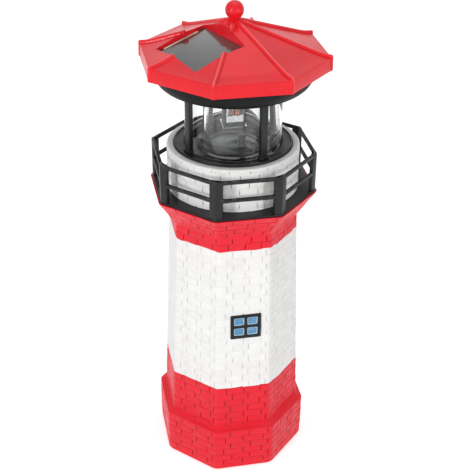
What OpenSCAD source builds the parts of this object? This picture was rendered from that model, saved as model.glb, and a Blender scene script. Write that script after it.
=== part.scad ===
// Garden lighthouse ornament: a hollow eight-sided tower with a railed gallery, a round drum
// and a lift-off solar lamp whose beacon turns inside a clear lens.
// Millimetres, +Z up, origin at the centre of the base. The window faces -Y.

/* [Tower] */
// Width of the plinth, corner to corner
plinth_d = 119; // [110:1:128]
// Height of the plinth
plinth_h = 38.5; // [28:0.5:46]
// Rounding of the plinth's bottom edge
plinth_round = 2.5; // [0.6:0.1:2.6]
// Rise of the sloping ledge on top of the plinth
ledge_h = 1.5; // [0.5:0.5:4]
// Width of the shaft at its foot, corner to corner
shaft_foot_d = 109; // [103:1:112]
// Width of the shaft under the flare, corner to corner
shaft_top_d = 97; // [94:1:102]
// Height of the shaft from the ledge to the flare
shaft_h = 168; // [120:1:200]
// Height of the flare up to the gallery deck's seat
flare_h = 18; // [12:1:30]
// Width of the flare's rim, corner to corner
flare_d = 124.6; // [118:0.2:132]
// Height of the rim above the deck's seat
rim_h = 2.6; // [1:0.2:3.4]
// Thickness of the rim, measured at a corner
rim_w = 1.2; // [0.8:0.1:2]
// Wall of the tower
tower_wall = 3; // [2:0.25:5]
// Height of the lower edge of the white band
white_low = 77; // [54:0.5:104]
// Height of the upper edge of the white band
white_high = 197; // [154:0.5:204]

/* [Window] */
// Width of the window
window_w = 23; // [16:0.5:28]
// Height of the window
window_h = 20.5; // [14:0.5:28]
// Height of the window's centre above the ground
window_z = 132.8; // [104:0.2:164]
// Distance of the window's centre from the middle of its wall
window_shift = 1.4; // [-3:0.2:3]
// Width of the window's border
border_w = 2.2; // [1:0.1:4]
// Width of the glazing bars
bar_w = 1.6; // [0.8:0.1:3]
// How far the border stands out of the wall
border_out = 0.9; // [0.3:0.1:2]
// Depth of the window's pocket in the wall
pocket_deep = 1.4; // [0.6:0.1:1.8]

/* [Base cover] */
// Thickness of the cover
cover_t = 3; // [2.6:0.2:5]
// Radius of the circle on which the cover's screws lie
cover_screw_r = 46.5; // [43:0.5:47]
// Length of the cover's screws below the head
cover_screw_len = 12; // [8:1:16]
// Radius of the drain holes
drain_r = 3; // [1.5:0.5:5]

/* [Gallery] */
// Thickness of the deck
deck_t = 4; // [2.5:0.5:6]
// Distance from the deck's corners in to the railing's corners
rail_inset = 0.5; // [0.4:0.1:6]
// Height of the railing above the deck
rail_h = 28.5; // [20:0.5:32]
// Height of a rail's section
rail_bar_h = 2.6; // [1.5:0.1:4]
// Thickness of the railing
rail_t = 2.4; // [1.6:0.1:4]
// Height of the middle rail's centre above the deck
middle_rail_z = 13.6; // [8:0.2:20]
// Length of each wing of a corner post
post_wing = 5; // [3:0.5:8]

/* [Drum] */
// Outside diameter of the drum
drum_d = 95; // [92:0.5:98]
// Height of the drum above the flare
drum_h = 36; // [30:0.5:44]
// Diameter of the mouth that takes the lamp
mouth_d = 85.2; // [83:0.2:87]
// Depth of the mouth's step
mouth_deep = 3; // [2:0.25:5]
// Diameter of the drum's bore below the step
bore_d = 81.2; // [79:0.2:82]
// Rounding of the drum's rim
rim_round = 1.8; // [0.5:0.1:2.2]
// Depth of the spigot that enters the tower
spigot_deep = 6; // [3.5:0.5:12]

/* [Lamp base] */
// Clearance round the lamp in the mouth and the bore
lamp_gap = 0.3; // [0.2:0.05:0.8]
// Thickness of the flange
flange_t = 3.6; // [3.4:0.1:5]
// Depth of the skirt below the flange
skirt_deep = 15; // [8:1:22]
// Wall of the skirt
skirt_wall = 2; // [1.5:0.25:3]
// Depth of the floor below the flange's top
floor_drop = 3; // [2:0.25:3.2]
// Thickness of the floor
floor_t = 2.4; // [1.6:0.2:4]
// Width of the flange's raised outer lip
lip_w = 1.2; // [0.6:0.1:2]
// Height of the flange's raised outer lip
lip_h = 0.7; // [0.3:0.1:1.5]
// Distance of the floor stud from the axis
stud_out = 6; // [4:0.5:12]
// Height of the floor stud
stud_h = 8; // [4:0.5:10]

/* [Lens] */
// Outside diameter of the clear lens
lens_d = 69; // [66:0.5:70]
// Wall of the lens
lens_wall = 1.8; // [1.2:0.1:3]
// Height of the lens between the flange and the housing
lens_h = 44; // [36:0.5:56]
// Depth to which the lens enters its grooves
groove_deep = 1.2; // [0.6:0.1:1.6]
// Clearance in the grooves
groove_gap = 0.15; // [0.1:0.05:0.4]
// Outside diameter of the inner clear tube
tube_d = 42; // [38:0.5:46]
// Wall of the inner tube
tube_wall = 1.5; // [1:0.1:2.5]
// Width of a cage post
cage_w = 5.4; // [3:0.2:8]
// Thickness of a cage post
cage_t = 3.6; // [2:0.2:5]

/* [Housing] */
// Diameter of the housing's underside
housing_d = 93.6; // [90:0.2:98]
// Diameter of the housing under the roof
housing_top_d = 112; // [106:1:116]
// Height of the housing's curved side
housing_curve_h = 11; // [8:0.5:16]
// Height of the housing's upright rim
housing_rim_h = 6; // [3:0.5:8]
// Wall of the housing
housing_wall = 2.2; // [1.6:0.2:3]
// Thickness of the housing's floor
housing_floor = 2.6; // [2:0.2:4]
// Radius of the circle on which the housing's screws lie
housing_screw_r = 40.8; // [40:0.2:42]
// Length of the housing's screws below the head
housing_screw_len = 14; // [8:1:20]

/* [Roof] */
// How far the roof's corners reach out beyond the housing's rim
eave_reach = 10.6; // [8:0.1:14]
// Height of the fascia
fascia_h = 9.2; // [6:0.2:14]
// How far the fascia leans out at its bottom
fascia_lean = 1; // [0:0.1:3]
// Height of the fascia's lower edge above the housing's underside
fascia_drop = 13.8; // [12:0.2:17]
// Rise of the roof from the eave to the peak
roof_rise = 21.8; // [16:0.2:30]
// Width of the flattened strip along the eave
eave_strip = 12; // [6:1:20]
// Slope of the roof at the very eave
eave_slope = 0.12; // [0:0.02:0.3]
// Thickness of the roof
roof_wall = 2.2; // [1.6:0.1:3]
// Width of a hip rib
rib_w = 3.4; // [2:0.2:5]
// Height of a hip rib above the roof
rib_h = 1.8; // [0.8:0.1:3]
// Diameter of the ball on the peak
ball_d = 12.8; // [9:0.2:18]

/* [Solar panel] */
// Size of the panel across the roof
panel_w = 49.6; // [44:0.2:51]
// Size of the panel down the slope
panel_l = 38.9; // [34:0.1:41]
// Thickness of the panel
panel_t = 2.2; // [1.4:0.1:3]
// Gap round the panel
panel_gap = 0.5; // [0.3:0.1:1]
// Horizontal distance of the panel's centre from the axis
panel_out = 27.6; // [27:0.2:29]
// Height of the panel's centre above the eave
panel_rise = 5.8; // [5.4:0.1:6.4]
// Slope of the panel in degrees
panel_tilt = 15.3; // [13:0.1:17]
// Width of the ledge under the panel
panel_ledge = 2; // [1:0.25:4]

/* [Beacon] */
// Width of the beacon's head
beacon_w = 15; // [11:0.5:19]
// Depth of the beacon's head
beacon_deep = 12; // [9:0.5:15]
// Height of the beacon's head
beacon_h = 26; // [18:0.5:30]
// Height of the bright trays that hold the lamp chips
tray_h = 10.5; // [7:0.5:13]
// Distance of a lamp chip from the middle of its tray
led_out = 2.4; // [2.2:0.1:2.6]
// Gap between the housing and the top of the beacon's head
beacon_drop = 5; // [3:0.5:10]
// Diameter of the lamp chips' domes
led_d = 4; // [3:0.2:4.2]
// Diameter of the beacon's spindle
spindle_d = 3; // [2:0.5:4]
// Outside diameter of the spindle's bush
bush_d = 8; // [6:0.5:10]
// Radial running clearance of the shafts
running_gap = 0.05; // [0.02:0.01:0.09]

/* [Drive] */
// Module of the gear teeth
tooth_module = 0.5; // [0.4:0.05:0.6]
// Teeth of the wheel on the spindle
wheel_teeth = 48; // [40:1:52]
// Teeth of the motor's pinion
pinion_teeth = 12; // [10:1:16]
// Thickness of the wheel
wheel_t = 3; // [2:0.5:5]
// Diameter of the motor
motor_d = 16; // [12:0.5:16]
// Height of the motor's body
motor_h = 9; // [6:0.5:9.5]
// Diameter of the motor's shaft
motor_shaft_d = 1.5; // [1:0.1:2]

/* [Electrics] */
// Diameter of the rechargeable cell
cell_d = 14.2; // [10.5:0.1:14.5]
// Length of the rechargeable cell
cell_l = 49.5; // [44:0.5:50.5]
// Wall of the cell holder
holder_wall = 1.6; // [1.2:0.1:2.4]
// Distance of the cell from the axis
cell_out = 24; // [23.4:0.2:24.4]
// Width of the circuit board
board_w = 30; // [24:1:34]
// Depth of the circuit board
board_deep = 17; // [12:1:18]
// Thickness of the circuit board
board_t = 1.6; // [1:0.1:2]
// Distance of the board's centre from the axis
board_out = 22.5; // [21:0.5:24]
// Length of the switch
switch_l = 9; // [7:0.5:12]
// Travel of the switch's slider
switch_travel = 3; // [2:0.5:4]

/* [Hidden] */

$fn = 72;
eps = 0.01;
far = 400;

red = [0.86, 0.10, 0.13];
white = [0.95, 0.95, 0.93];
black = [0.10, 0.10, 0.11];
steel = [0.75, 0.76, 0.78];
copper = [0.72, 0.38, 0.20];

// An eight-sided form's flat side lies at this share of its corner radius.
flat = cos(22.5);
corner = [for (k = [0 : 7]) -22.5 + 45 * k];

// Gap between the lamp's flange and the step that it rests on.
seat_gap = 0.1;

// Heights of the stack, from the ground up.
z_shaft = plinth_h + ledge_h;
z_neck = z_shaft + shaft_h;
z_flare = z_neck + flare_h;
z_deck = z_flare + deck_t;
z_rim = z_flare + drum_h;
z_step = z_rim - mouth_deep;
z_flange = z_step + seat_gap + flange_t;
z_floor = z_flange - floor_drop;
z_housing = z_flange + lens_h;
z_inside = z_housing + housing_floor;
z_fascia = z_housing + fascia_drop;
z_eave = z_fascia + fascia_h;
z_peak = z_eave + roof_rise;
z_housing_top = z_housing + housing_curve_h + housing_rim_h;

// Corner radius of the shaft at a height.
function shaft_r(z) = (shaft_foot_d + (shaft_top_d - shaft_foot_d) * (z - z_shaft) / shaft_h) / 2;
shaft_lean = atan((shaft_foot_d - shaft_top_d) / 2 * flat / shaft_h);

// The point at an angle from -Y, turning towards +X.
function around(r, angle) = [r * sin(angle), -r * cos(angle), 0];

// Screws of one kind, used under the base and under the housing.
screw_r = 1.5;
pilot_r = 1.55;
head_r = 2.8;
head_h = 1.6;
head_sunk = 0.1;
boss_r = 3.5;

// Drum, mouth and the lamp that stands in them.
drum_r = drum_d / 2;
bore_r = bore_d / 2;
spigot_r = bore_r + 3;
flange_r = mouth_d / 2 - lamp_gap;
skirt_r = bore_r - lamp_gap;
lens_r = lens_d / 2;
lens_in_r = lens_r - lens_wall;
tube_r = tube_d / 2;
cage_r = lens_r + 0.4;
cage_angles = [for (k = [0 : 3]) -67.5 + 90 * k];
screw_angles = [for (k = [0 : 3]) -22.5 + 90 * k];
stud_angle = 78;

// Roof curve: straight from the peak, then a parabola that flattens over the eave strip.
eave_r = housing_top_d / 2 + eave_reach;
roof_slope = (roof_rise - eave_strip * eave_slope / 2) / (eave_r - eave_strip / 2);
function roof_z(r) =
    let (u = max(0, r - (eave_r - eave_strip)))
    z_peak - roof_slope * r + (roof_slope - eave_slope) * u * u / (2 * eave_strip);
strip_steps = 4;
roof_radii = concat([eave_r], [for (i = [1 : strip_steps]) eave_r - eave_strip * i / strip_steps], [0.6]);
roof_curve = [for (r = roof_radii) [r, roof_z(r)]];
cap_outline = concat([[eave_r + fascia_lean, z_fascia]], roof_curve);
cap_inside = concat(
    [[eave_r + fascia_lean - roof_wall / flat, z_fascia - 1]],
    [for (p = roof_curve) [max(0.3, p[0] - roof_wall / flat), p[1] - roof_wall]]
);

// The ball's neck stands in a shallow seat on the peak, and its pin goes through the roof.
ball_sunk = 0.2;
ball_neck_r = 3.4;
ball_pin_r = 1.7;
z_ball_seat = z_peak - 0.9;

// Solar panel: its turn, the centre of its top face and the opening round it.
panel_turn = -67.5;
panel_z = z_eave + panel_rise;
panel_sunk = 0.4;
notch_in = panel_out - panel_l / 2 * cos(panel_tilt) - panel_gap;
notch_l = panel_l * cos(panel_tilt) + 2 * panel_gap;
notch_w = panel_w + 2 * panel_gap;

// Beacon and its drive.
z_beacon = z_housing - beacon_drop;
wheel_r = tooth_module * wheel_teeth / 2;
pinion_r = tooth_module * pinion_teeth / 2;
mesh_gap = 0.1;
motor_x = wheel_r + pinion_r + mesh_gap;
motor_seat = 1.2;
z_motor = z_inside + motor_seat;
z_wheel = z_motor + motor_h + 1.6;
bush_top = z_wheel - 0.3;
spindle_r = spindle_d / 2;
bush_r = bush_d / 2;
plate_t = 1;
plate_over = 1;
tray_deep = beacon_deep * 0.3;
tray_z = z_beacon - beacon_h + 3;

// Electrics on the housing's floor.
holder_w = cell_d + 2 * holder_wall + 0.6;
holder_l = cell_l + 2 * holder_wall + 6;
z_cell = z_inside + holder_wall + 0.2 + cell_d / 2;
contact_t = 0.5;
contact_gap = 0.1;
x_plus = holder_l / 2 - holder_wall - contact_gap - contact_t - contact_gap;
x_minus = x_plus - cell_l;
board_leg = 3;
z_board = z_inside + board_leg;
switch_out = (lens_r + housing_d / 2) / 2 - 0.4;
switch_w = 5;
switch_h = 3.6;
switch_wall = 0.6;
knob_l = 3;
knob_w = 2;
knob_out = 2;
slide_gap = 0.3;

// ---------------------------------------------------------------- shared shapes

// An eight-sided solid with flats towards X and Y. The profile gives [corner radius, height]
// from the bottom up, and the solid is what four crossed prisms of it have in common.
module eight_sided(profile) {
    span = 2.4 * max([for (p = profile) p[0]]);
    right = [for (p = profile) [p[0] * flat, p[1]]];
    left = [for (i = [len(profile) - 1 : -1 : 0]) [-profile[i][0] * flat, profile[i][1]]];
    intersection_for (turn = [0 : 45 : 135])
        rotate([90, 0, turn])
            linear_extrude(height = span, center = true)
                polygon(concat(right, left));
}

module eight_ring(outer_r, wall, z, h) {
    difference() {
        eight_sided([[outer_r, z], [outer_r, z + h]]);
        eight_sided([[outer_r - wall / flat, z - 1], [outer_r - wall / flat, z + h + 1]]);
    }
}

module ring(r_out, r_in, z, h) {
    translate([0, 0, z])
        difference() {
            cylinder(r = r_out, h = h);
            translate([0, 0, -1])
                cylinder(r = r_in, h = h + 2);
        }
}

// A pan-head screw with its head below z = 0 and its shank above.
module screw(len) {
    translate([0, 0, -head_h])
        cylinder(r = head_r, h = head_h);
    translate([0, 0, -eps])
        cylinder(r = screw_r, h = len + eps);
}

// ---------------------------------------------------------------- tower

plinth_r = plinth_d / 2;
round_steps = 4;
edge_round = min(plinth_round, 0.85 * tower_wall);
plinth_edge = [
    for (i = [0 : round_steps])
        let (a = 90 * i / round_steps)
        [plinth_r - edge_round * (1 - sin(a)), edge_round * (1 - cos(a))]
];
tower_outline = concat(plinth_edge, [
    [plinth_r, plinth_h],
    [shaft_foot_d / 2, z_shaft],
    [shaft_top_d / 2, z_neck],
    [flare_d / 2, z_flare + rim_h]
]);
wall_r = tower_wall / flat;

// The deck lies in a seat whose sides lean like the flare's outside.
deck_gap = 0.1;
deck_r = flare_d / 2 - rim_w;
rail_r = deck_r - rail_inset;
flare_slope = (flare_d - shaft_top_d) / 2 / (flare_h + rim_h);
seat_r = deck_r - flare_slope * rim_h;
tower_inside = [
    [plinth_r - wall_r, -1],
    [plinth_r - wall_r, plinth_h - tower_wall],
    [shaft_foot_d / 2 - wall_r, z_shaft - tower_wall],
    [shaft_top_d / 2 - wall_r, z_neck],
    [shaft_top_d / 2 + flare_slope * (flare_h - tower_wall) - 1.15 * wall_r, z_flare - tower_wall]
];

// Places its children on the front wall: X along the wall, Z up the wall, -Y outwards.
module on_front_wall() {
    translate([window_shift, -shaft_r(window_z) * flat, window_z])
        rotate([-shaft_lean, 0, 0])
            children();
}

module wall_plate(w, h, from, to) {
    translate([-w / 2, from, -h / 2])
        cube([w, to - from, h]);
}

module cover_bosses() {
    boss_h = cover_screw_len + 3;
    for (a = [0 : 90 : 270])
        rotate([0, 0, a + 45])
            difference() {
                union() {
                    translate([cover_screw_r, 0, cover_t])
                        cylinder(r = boss_r, h = boss_h);
                    translate([cover_screw_r, -1, cover_t])
                        cube([plinth_r * flat - tower_wall / 2 - cover_screw_r, 2, boss_h]);
                }
                translate([cover_screw_r, 0, cover_t - 1])
                    cylinder(r = pilot_r, h = cover_screw_len + 2);
            }
}

module tower_band(z_from, z_to) {
    intersection() {
        difference() {
            eight_sided(tower_outline);
            eight_sided(tower_inside);
            eight_sided([[seat_r, z_flare], [deck_r + flare_slope, z_flare + rim_h + 1]]);
            translate([0, 0, z_flare - 2 * tower_wall])
                cylinder(r = spigot_r + 0.2, h = 3 * tower_wall);
            on_front_wall()
                wall_plate(window_w + 0.2, window_h + 0.2, -10, pocket_deep);
        }
        translate([-far / 2, -far / 2, z_from])
            cube([far, far, z_to - z_from]);
    }
}

// The plinth's wall ends under the ledge, and the flare begins at the neck.
module tower_plinth() {
    color(red) {
        tower_band(0, plinth_h - tower_wall);
        cover_bosses();
    }
}

module tower_shell() {
    color(red) {
        tower_band(plinth_h - tower_wall, white_low);
        tower_band(white_high, z_neck);
    }
    color(white)
        tower_band(white_low, white_high);
}

module tower_flare() {
    color(red)
        tower_band(z_neck, z_flare + rim_h);
}

module window_frame() {
    pane_w = (window_w - 2 * border_w - bar_w) / 2;
    pane_h = (window_h - 2 * border_w - bar_w) / 2;
    color(black)
        on_front_wall()
            difference() {
                wall_plate(window_w, window_h, -border_out, pocket_deep);
                for (sx = [-1, 1], sz = [-1, 1])
                    translate([sx * (pane_w + bar_w) / 2, 0, sz * (pane_h + bar_w) / 2])
                        wall_plate(pane_w, pane_h, -border_out - 1, pocket_deep + 1);
            }
}

module window_panes() {
    pane_w = (window_w - 2 * border_w - bar_w) / 2;
    pane_h = (window_h - 2 * border_w - bar_w) / 2;
    color([0.33, 0.66, 0.88])
        on_front_wall()
            for (sx = [-1, 1], sz = [-1, 1])
                translate([sx * (pane_w + bar_w) / 2, 0, sz * (pane_h + bar_w) / 2])
                    wall_plate(pane_w, pane_h, border_out / 2, pocket_deep);
}

module base_cover() {
    cover_r = plinth_r - wall_r - 0.3;
    color(black)
        difference() {
            eight_sided([[cover_r, 0], [cover_r, cover_t]]);
            for (a = [0 : 90 : 270]) {
                rotate([0, 0, a + 45])
                    translate([cover_screw_r, 0, -1]) {
                        cylinder(r = screw_r + 0.3, h = far);
                        cylinder(r = head_r + 0.3, h = 1 + head_h + head_sunk);
                    }
                rotate([0, 0, a])
                    translate([cover_screw_r / 2, 0, -1])
                        cylinder(r = drain_r, h = far);
            }
        }
}

module base_screws() {
    color(steel)
        for (a = [0 : 90 : 270])
            rotate([0, 0, a + 45])
                translate([cover_screw_r, 0, head_sunk + head_h])
                    screw(cover_screw_len);
}

// ---------------------------------------------------------------- gallery and drum

deck_edge = 0.4;

module balcony_deck() {
    color(black)
        difference() {
            eight_sided([
                [seat_r - deck_gap, z_flare],
                [deck_r - deck_gap, z_flare + rim_h],
                [deck_r - deck_gap, z_deck - deck_edge],
                [deck_r - deck_gap - deck_edge, z_deck]
            ]);
            translate([0, 0, z_flare - 1])
                cylinder(r = drum_r + 0.3, h = deck_t + 2);
        }
}

module corner_blocks() {
    for (a = corner)
        rotate([0, 0, a])
            translate([-post_wing * flat, -2 * rail_r, 0])
                cube([2 * post_wing * flat, 2 * rail_r, far]);
}

module balcony_posts() {
    color(black)
        intersection() {
            eight_ring(rail_r, rail_t, z_deck, rail_h);
            corner_blocks();
        }
}

module rail_bars(z_mid) {
    color(black)
        difference() {
            eight_ring(rail_r, rail_t, z_mid - rail_bar_h / 2, rail_bar_h);
            corner_blocks();
        }
}

module top_rails() {
    rail_bars(z_deck + rail_h - rail_bar_h / 2);
}

module middle_rails() {
    rail_bars(z_deck + middle_rail_z);
}

module lantern_drum() {
    mouth_r = mouth_d / 2;
    arc = [for (a = [0 : 30 : 90]) [sin(a), cos(a)]];
    outer_arc = [for (i = [3 : -1 : 0])
        [drum_r - rim_round + rim_round * arc[i][0], z_rim - rim_round + rim_round * arc[i][1]]];
    color(white)
        rotate_extrude()
            polygon(concat(
                [
                    [bore_r, z_flare - spigot_deep],
                    [spigot_r, z_flare - spigot_deep],
                    [spigot_r, z_flare],
                    [drum_r, z_flare]
                ],
                outer_arc,
                [
                    [mouth_r + 0.6, z_rim],
                    [mouth_r, z_rim - 0.6],
                    [mouth_r, z_step],
                    [bore_r, z_step]
                ]
            ));
}

// ---------------------------------------------------------------- lamp base, cage and lens

module lamp_base() {
    groove_out = lens_r + groove_gap;
    groove_in = lens_in_r - groove_gap;
    color(black) {
        difference() {
            rotate_extrude()
                polygon([
                    [0, z_floor - floor_t],
                    [skirt_r - skirt_wall, z_floor - floor_t],
                    [skirt_r - skirt_wall, z_step - skirt_deep],
                    [skirt_r, z_step - skirt_deep],
                    [skirt_r, z_step],
                    [flange_r, z_step],
                    [flange_r, z_flange + lip_h - 0.4],
                    [flange_r - 0.4, z_flange + lip_h],
                    [flange_r - lip_w, z_flange + lip_h],
                    [flange_r - lip_w, z_flange],
                    [groove_out, z_flange],
                    [groove_out, z_flange - groove_deep],
                    [groove_in, z_flange - groove_deep],
                    [groove_in, z_floor],
                    [0, z_floor]
                ]);
            ring(tube_r + groove_gap, tube_r - tube_wall - groove_gap, z_floor - groove_deep / 2, 4);
            translate(around(stud_out, stud_angle))
                ring(8.6, 8, z_floor - 0.5, 1);
        }
        translate(around(stud_out, stud_angle)) {
            translate([0, 0, z_floor - eps])
                cylinder(r = 3.4, h = 1.6);
            translate([0, 0, z_floor])
                cylinder(r = 2, h = stud_h);
            translate([0, 0, z_floor + stud_h - 2.4])
                cylinder(r = 2.6, h = 2);
        }
    }
}

module cage_posts() {
    color(black)
        for (a = cage_angles)
            rotate([0, 0, a]) {
                translate([-cage_w / 2, -cage_r - cage_t, z_flange])
                    cube([cage_w, cage_t, lens_h]);
                translate([-cage_w / 2 - 0.8, -cage_r - cage_t - 0.6, z_flange])
                    cube([cage_w + 1.6, cage_t + 0.6, 2]);
            }
}

module lens_cylinder() {
    color([0.85, 0.90, 0.92, 0.35])
        ring(lens_r, lens_in_r, z_flange - groove_deep, lens_h + 2 * groove_deep - 0.2);
}

module inner_tube() {
    z_foot = z_floor - groove_deep / 2;
    color([0.85, 0.90, 0.92, 0.35])
        ring(tube_r, tube_r - tube_wall, z_foot, z_housing - z_foot - 0.2);
}

// ---------------------------------------------------------------- head housing

housing_steps = 6;
housing_side = [
    for (i = [0 : housing_steps])
        let (a = 90 * i / housing_steps)
        [
            housing_d / 2 + (housing_top_d - housing_d) / 2 * sin(a),
            z_housing + housing_curve_h * (1 - cos(a))
        ]
];

module head_housing() {
    inner = [for (p = housing_side) [p[0] - housing_wall, max(z_inside, p[1] + 0.4)]];
    color(black) {
        difference() {
            rotate_extrude()
                polygon(concat(
                    [[0, z_housing]],
                    housing_side,
                    [
                        [housing_top_d / 2, z_housing_top],
                        [housing_top_d / 2 - housing_wall, z_housing_top]
                    ],
                    [for (i = [housing_steps : -1 : 1]) inner[i]],
                    [[housing_d / 2 - housing_wall, z_inside], [0, z_inside]]
                ));
            ring(lens_r + groove_gap, lens_in_r - groove_gap, z_housing - 1, 1 + groove_deep);
            translate([0, 0, z_housing - 1])
                cylinder(r = bush_r + 0.02, h = far);
            for (a = screw_angles)
                translate(around(housing_screw_r, a) + [0, 0, z_housing - 1]) {
                    cylinder(r = screw_r + 0.3, h = far);
                    cylinder(r = head_r + 0.3, h = 1 + head_h);
                }
            slider_slot(z_housing - 1, housing_floor + 2);
        }
        motor_seat();
        bush_tower();
        board_legs();
    }
}

// A ring that the motor stands on.
module motor_seat() {
    translate([motor_x, 0, 0])
        ring(motor_d / 2, motor_d / 2 - 2, z_inside - eps, motor_seat + eps);
}

// The tube that holds the bush upright.
module bush_tower() {
    ring(bush_r + 1.5, bush_r + 0.02, z_inside - eps, 6);
}

module board_legs() {
    for (sx = [-1, 1], sy = [-1, 1])
        translate([sx * (board_w / 2 - 3), -board_out + sy * (board_deep / 2 - 3), z_inside - eps])
            cylinder(r = 2, h = board_leg + eps);
}

module housing_screws() {
    color(steel)
        for (a = screw_angles)
            translate(around(housing_screw_r, a) + [0, 0, z_housing + head_h])
                screw(housing_screw_len);
}

// ---------------------------------------------------------------- roof

// One hip rib in the hip's own upright plane, from r_in to the eave.
module hip_rib(angle, r_in) {
    radii = concat([r_in], [for (i = [strip_steps : -1 : 0]) eave_r - eave_strip * i / strip_steps]);
    tip = [[eave_r + 0.5, roof_z(eave_r) + rib_h]];
    for (layer = [[1, 0.55], [0.62, 0.85], [0.3, 1]])
        rotate([90, 0, angle - 90])
            linear_extrude(height = rib_w * layer[0], center = true)
                polygon(concat(
                    [for (r = radii) [r, roof_z(r) + rib_h * layer[1]]],
                    [tip[0] + [0, rib_h * (layer[1] - 1)]],
                    [[eave_r + 0.5, roof_z(eave_r) - 2]],
                    [for (i = [len(radii) - 1 : -1 : 0]) [radii[i], roof_z(radii[i]) - 1]]
                ));
}

// Frame of the panel: X down the slope, Y across, Z out of the panel's top face.
module on_panel() {
    rotate([0, 0, panel_turn - 90])
        translate([panel_out, 0, panel_z])
            rotate([0, panel_tilt, 0])
                children();
}

module notch_column(grow) {
    rotate([0, 0, panel_turn - 90])
        translate([notch_in - grow, -notch_w / 2 - grow, 0])
            cube([notch_l + 2 * grow, notch_w + 2 * grow, far]);
}

module above_panel(drop) {
    on_panel()
        translate([-far / 2, -far / 2, -drop])
            cube([far, far, far]);
}

module panel_tray() {
    tray_wall = 1.6;
    intersection() {
        eight_sided(cap_outline);
        notch_column(tray_wall);
        above_panel(panel_sunk + panel_t + 1.4);
    }
}

module roof_bosses() {
    for (a = screw_angles)
        translate(around(housing_screw_r, a) + [0, 0, z_inside])
            cylinder(r = boss_r, h = roof_z(housing_screw_r / flat) - z_inside - 0.6);
}

module roof_cap() {
    color(red)
        difference() {
            union() {
                difference() {
                    union() {
                        eight_sided(cap_outline);
                        for (a = corner)
                            hip_rib(a, 0.5);
                    }
                    eight_sided(cap_inside);
                }
                panel_tray();
                roof_bosses();
            }
            intersection() {
                notch_column(0);
                above_panel(panel_sunk);
            }
            on_panel()
                translate([-panel_l / 2 - 0.2, -panel_w / 2 - 0.2, -panel_sunk - panel_t])
                    cube([panel_l + 0.4, panel_w + 0.4, 20]);
            on_panel()
                translate([-panel_l / 2 + panel_ledge, -panel_w / 2 + panel_ledge, -20])
                    cube([panel_l - 2 * panel_ledge, panel_w - 2 * panel_ledge, 40]);
            for (a = screw_angles)
                translate(around(housing_screw_r, a) + [0, 0, z_inside - 1])
                    cylinder(r = pilot_r, h = housing_screw_len + 1);
            translate([0, 0, z_ball_seat])
                cylinder(r = ball_neck_r + 0.3, h = far);
            translate([0, 0, z_ball_seat - 8])
                cylinder(r = ball_pin_r + 0.05, h = far);
        }
}

module finial_ball() {
    color(red) {
        translate([0, 0, z_peak + ball_d / 2 - ball_sunk])
            sphere(r = ball_d / 2);
        translate([0, 0, z_ball_seat])
            cylinder(r = ball_neck_r, h = 2);
        translate([0, 0, z_ball_seat - 4])
            cylinder(r = ball_pin_r, h = 5);
    }
}

module solar_panel() {
    color([0.12, 0.13, 0.15])
        on_panel()
            translate([-panel_l / 2, -panel_w / 2, -panel_sunk - panel_t])
                cube([panel_l, panel_w, panel_t]);
}

// ---------------------------------------------------------------- electrics

module cell_holder() {
    color(black)
        translate([-holder_l / 2, cell_out - holder_w / 2, z_inside])
            difference() {
                cube([holder_l, holder_w, cell_d * 0.72]);
                translate([holder_wall, holder_wall, holder_wall])
                    cube([holder_l - 2 * holder_wall, holder_w - 2 * holder_wall, far]);
            }
}

module rechargeable_cell() {
    cap_h = 1.2;
    color([0.20, 0.45, 0.30])
        translate([x_minus, cell_out, z_cell])
            rotate([0, 90, 0]) {
                cylinder(r = cell_d / 2, h = cell_l - cap_h);
                translate([0, 0, cell_l - cap_h - eps])
                    cylinder(r = 2.7, h = cap_h + eps);
            }
}

// A plate on the holder's end wall with the spring's turns between it and the cell.
module contact_spring() {
    coil_r = 3.2;
    wire = 0.8;
    x_wall = -holder_l / 2 + holder_wall + contact_gap;
    color(steel)
        translate([x_wall, cell_out, z_cell])
            rotate([0, 90, 0]) {
                cylinder(r = coil_r + 1.2, h = contact_t);
                ring(coil_r, coil_r - wire, contact_t - eps, x_minus - x_wall - contact_t - contact_gap);
            }
}

module contact_plate() {
    plate_w = 8;
    color(steel)
        translate([x_plus + contact_gap, cell_out - plate_w / 2, z_cell - plate_w / 2])
            cube([contact_t, plate_w, plate_w]);
}

module circuit_board() {
    color([0.10, 0.38, 0.20])
        translate([-board_w / 2, -board_out - board_deep / 2, z_board])
            cube([board_w, board_deep, board_t]);
}

module board_parts() {
    z_top = z_board + board_t;
    color([0.15, 0.15, 0.16]) {
        translate([-10, -board_out - 2, z_top])
            cube([5, 4, 1.6]);
        translate([-1, -board_out, z_top])
            cylinder(r = 2.5, h = 3);
        translate([7, -board_out, z_top])
            cylinder(r = 2, h = 5);
    }
}

// The slot that the slider's stem runs in, through whatever it is cut from.
module slider_slot(z, h) {
    slot_l = knob_l + switch_travel + 2 * slide_gap;
    translate([-slot_l / 2, switch_out - knob_w / 2 - slide_gap, z])
        cube([slot_l, knob_w + 2 * slide_gap, h]);
}

module switch_body() {
    color(steel)
        translate([-switch_l / 2, switch_out - switch_w / 2, z_inside])
            difference() {
                cube([switch_l, switch_w, switch_h]);
                translate([switch_wall, switch_wall, -1])
                    cube([switch_l - 2 * switch_wall, switch_w - 2 * switch_wall, 1 + switch_h - switch_wall]);
            }
}

// A stem through the slot with a wider plate inside that keeps it from falling out.
module switch_slider() {
    plate_l = switch_l - 2 * switch_wall - switch_travel - 2 * slide_gap;
    plate_w = switch_w - 2 * switch_wall - 2 * slide_gap;
    x_stem = -(knob_l + switch_travel) / 2;
    color(white) {
        translate([x_stem, switch_out - knob_w / 2, z_housing - knob_out])
            cube([knob_l, knob_w, knob_out + housing_floor + 1]);
        translate([x_stem + (knob_l - plate_l) / 2, switch_out - plate_w / 2, z_inside + 0.2])
            cube([plate_l, plate_w, 2]);
    }
}

// ---------------------------------------------------------------- motor and gears

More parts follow.
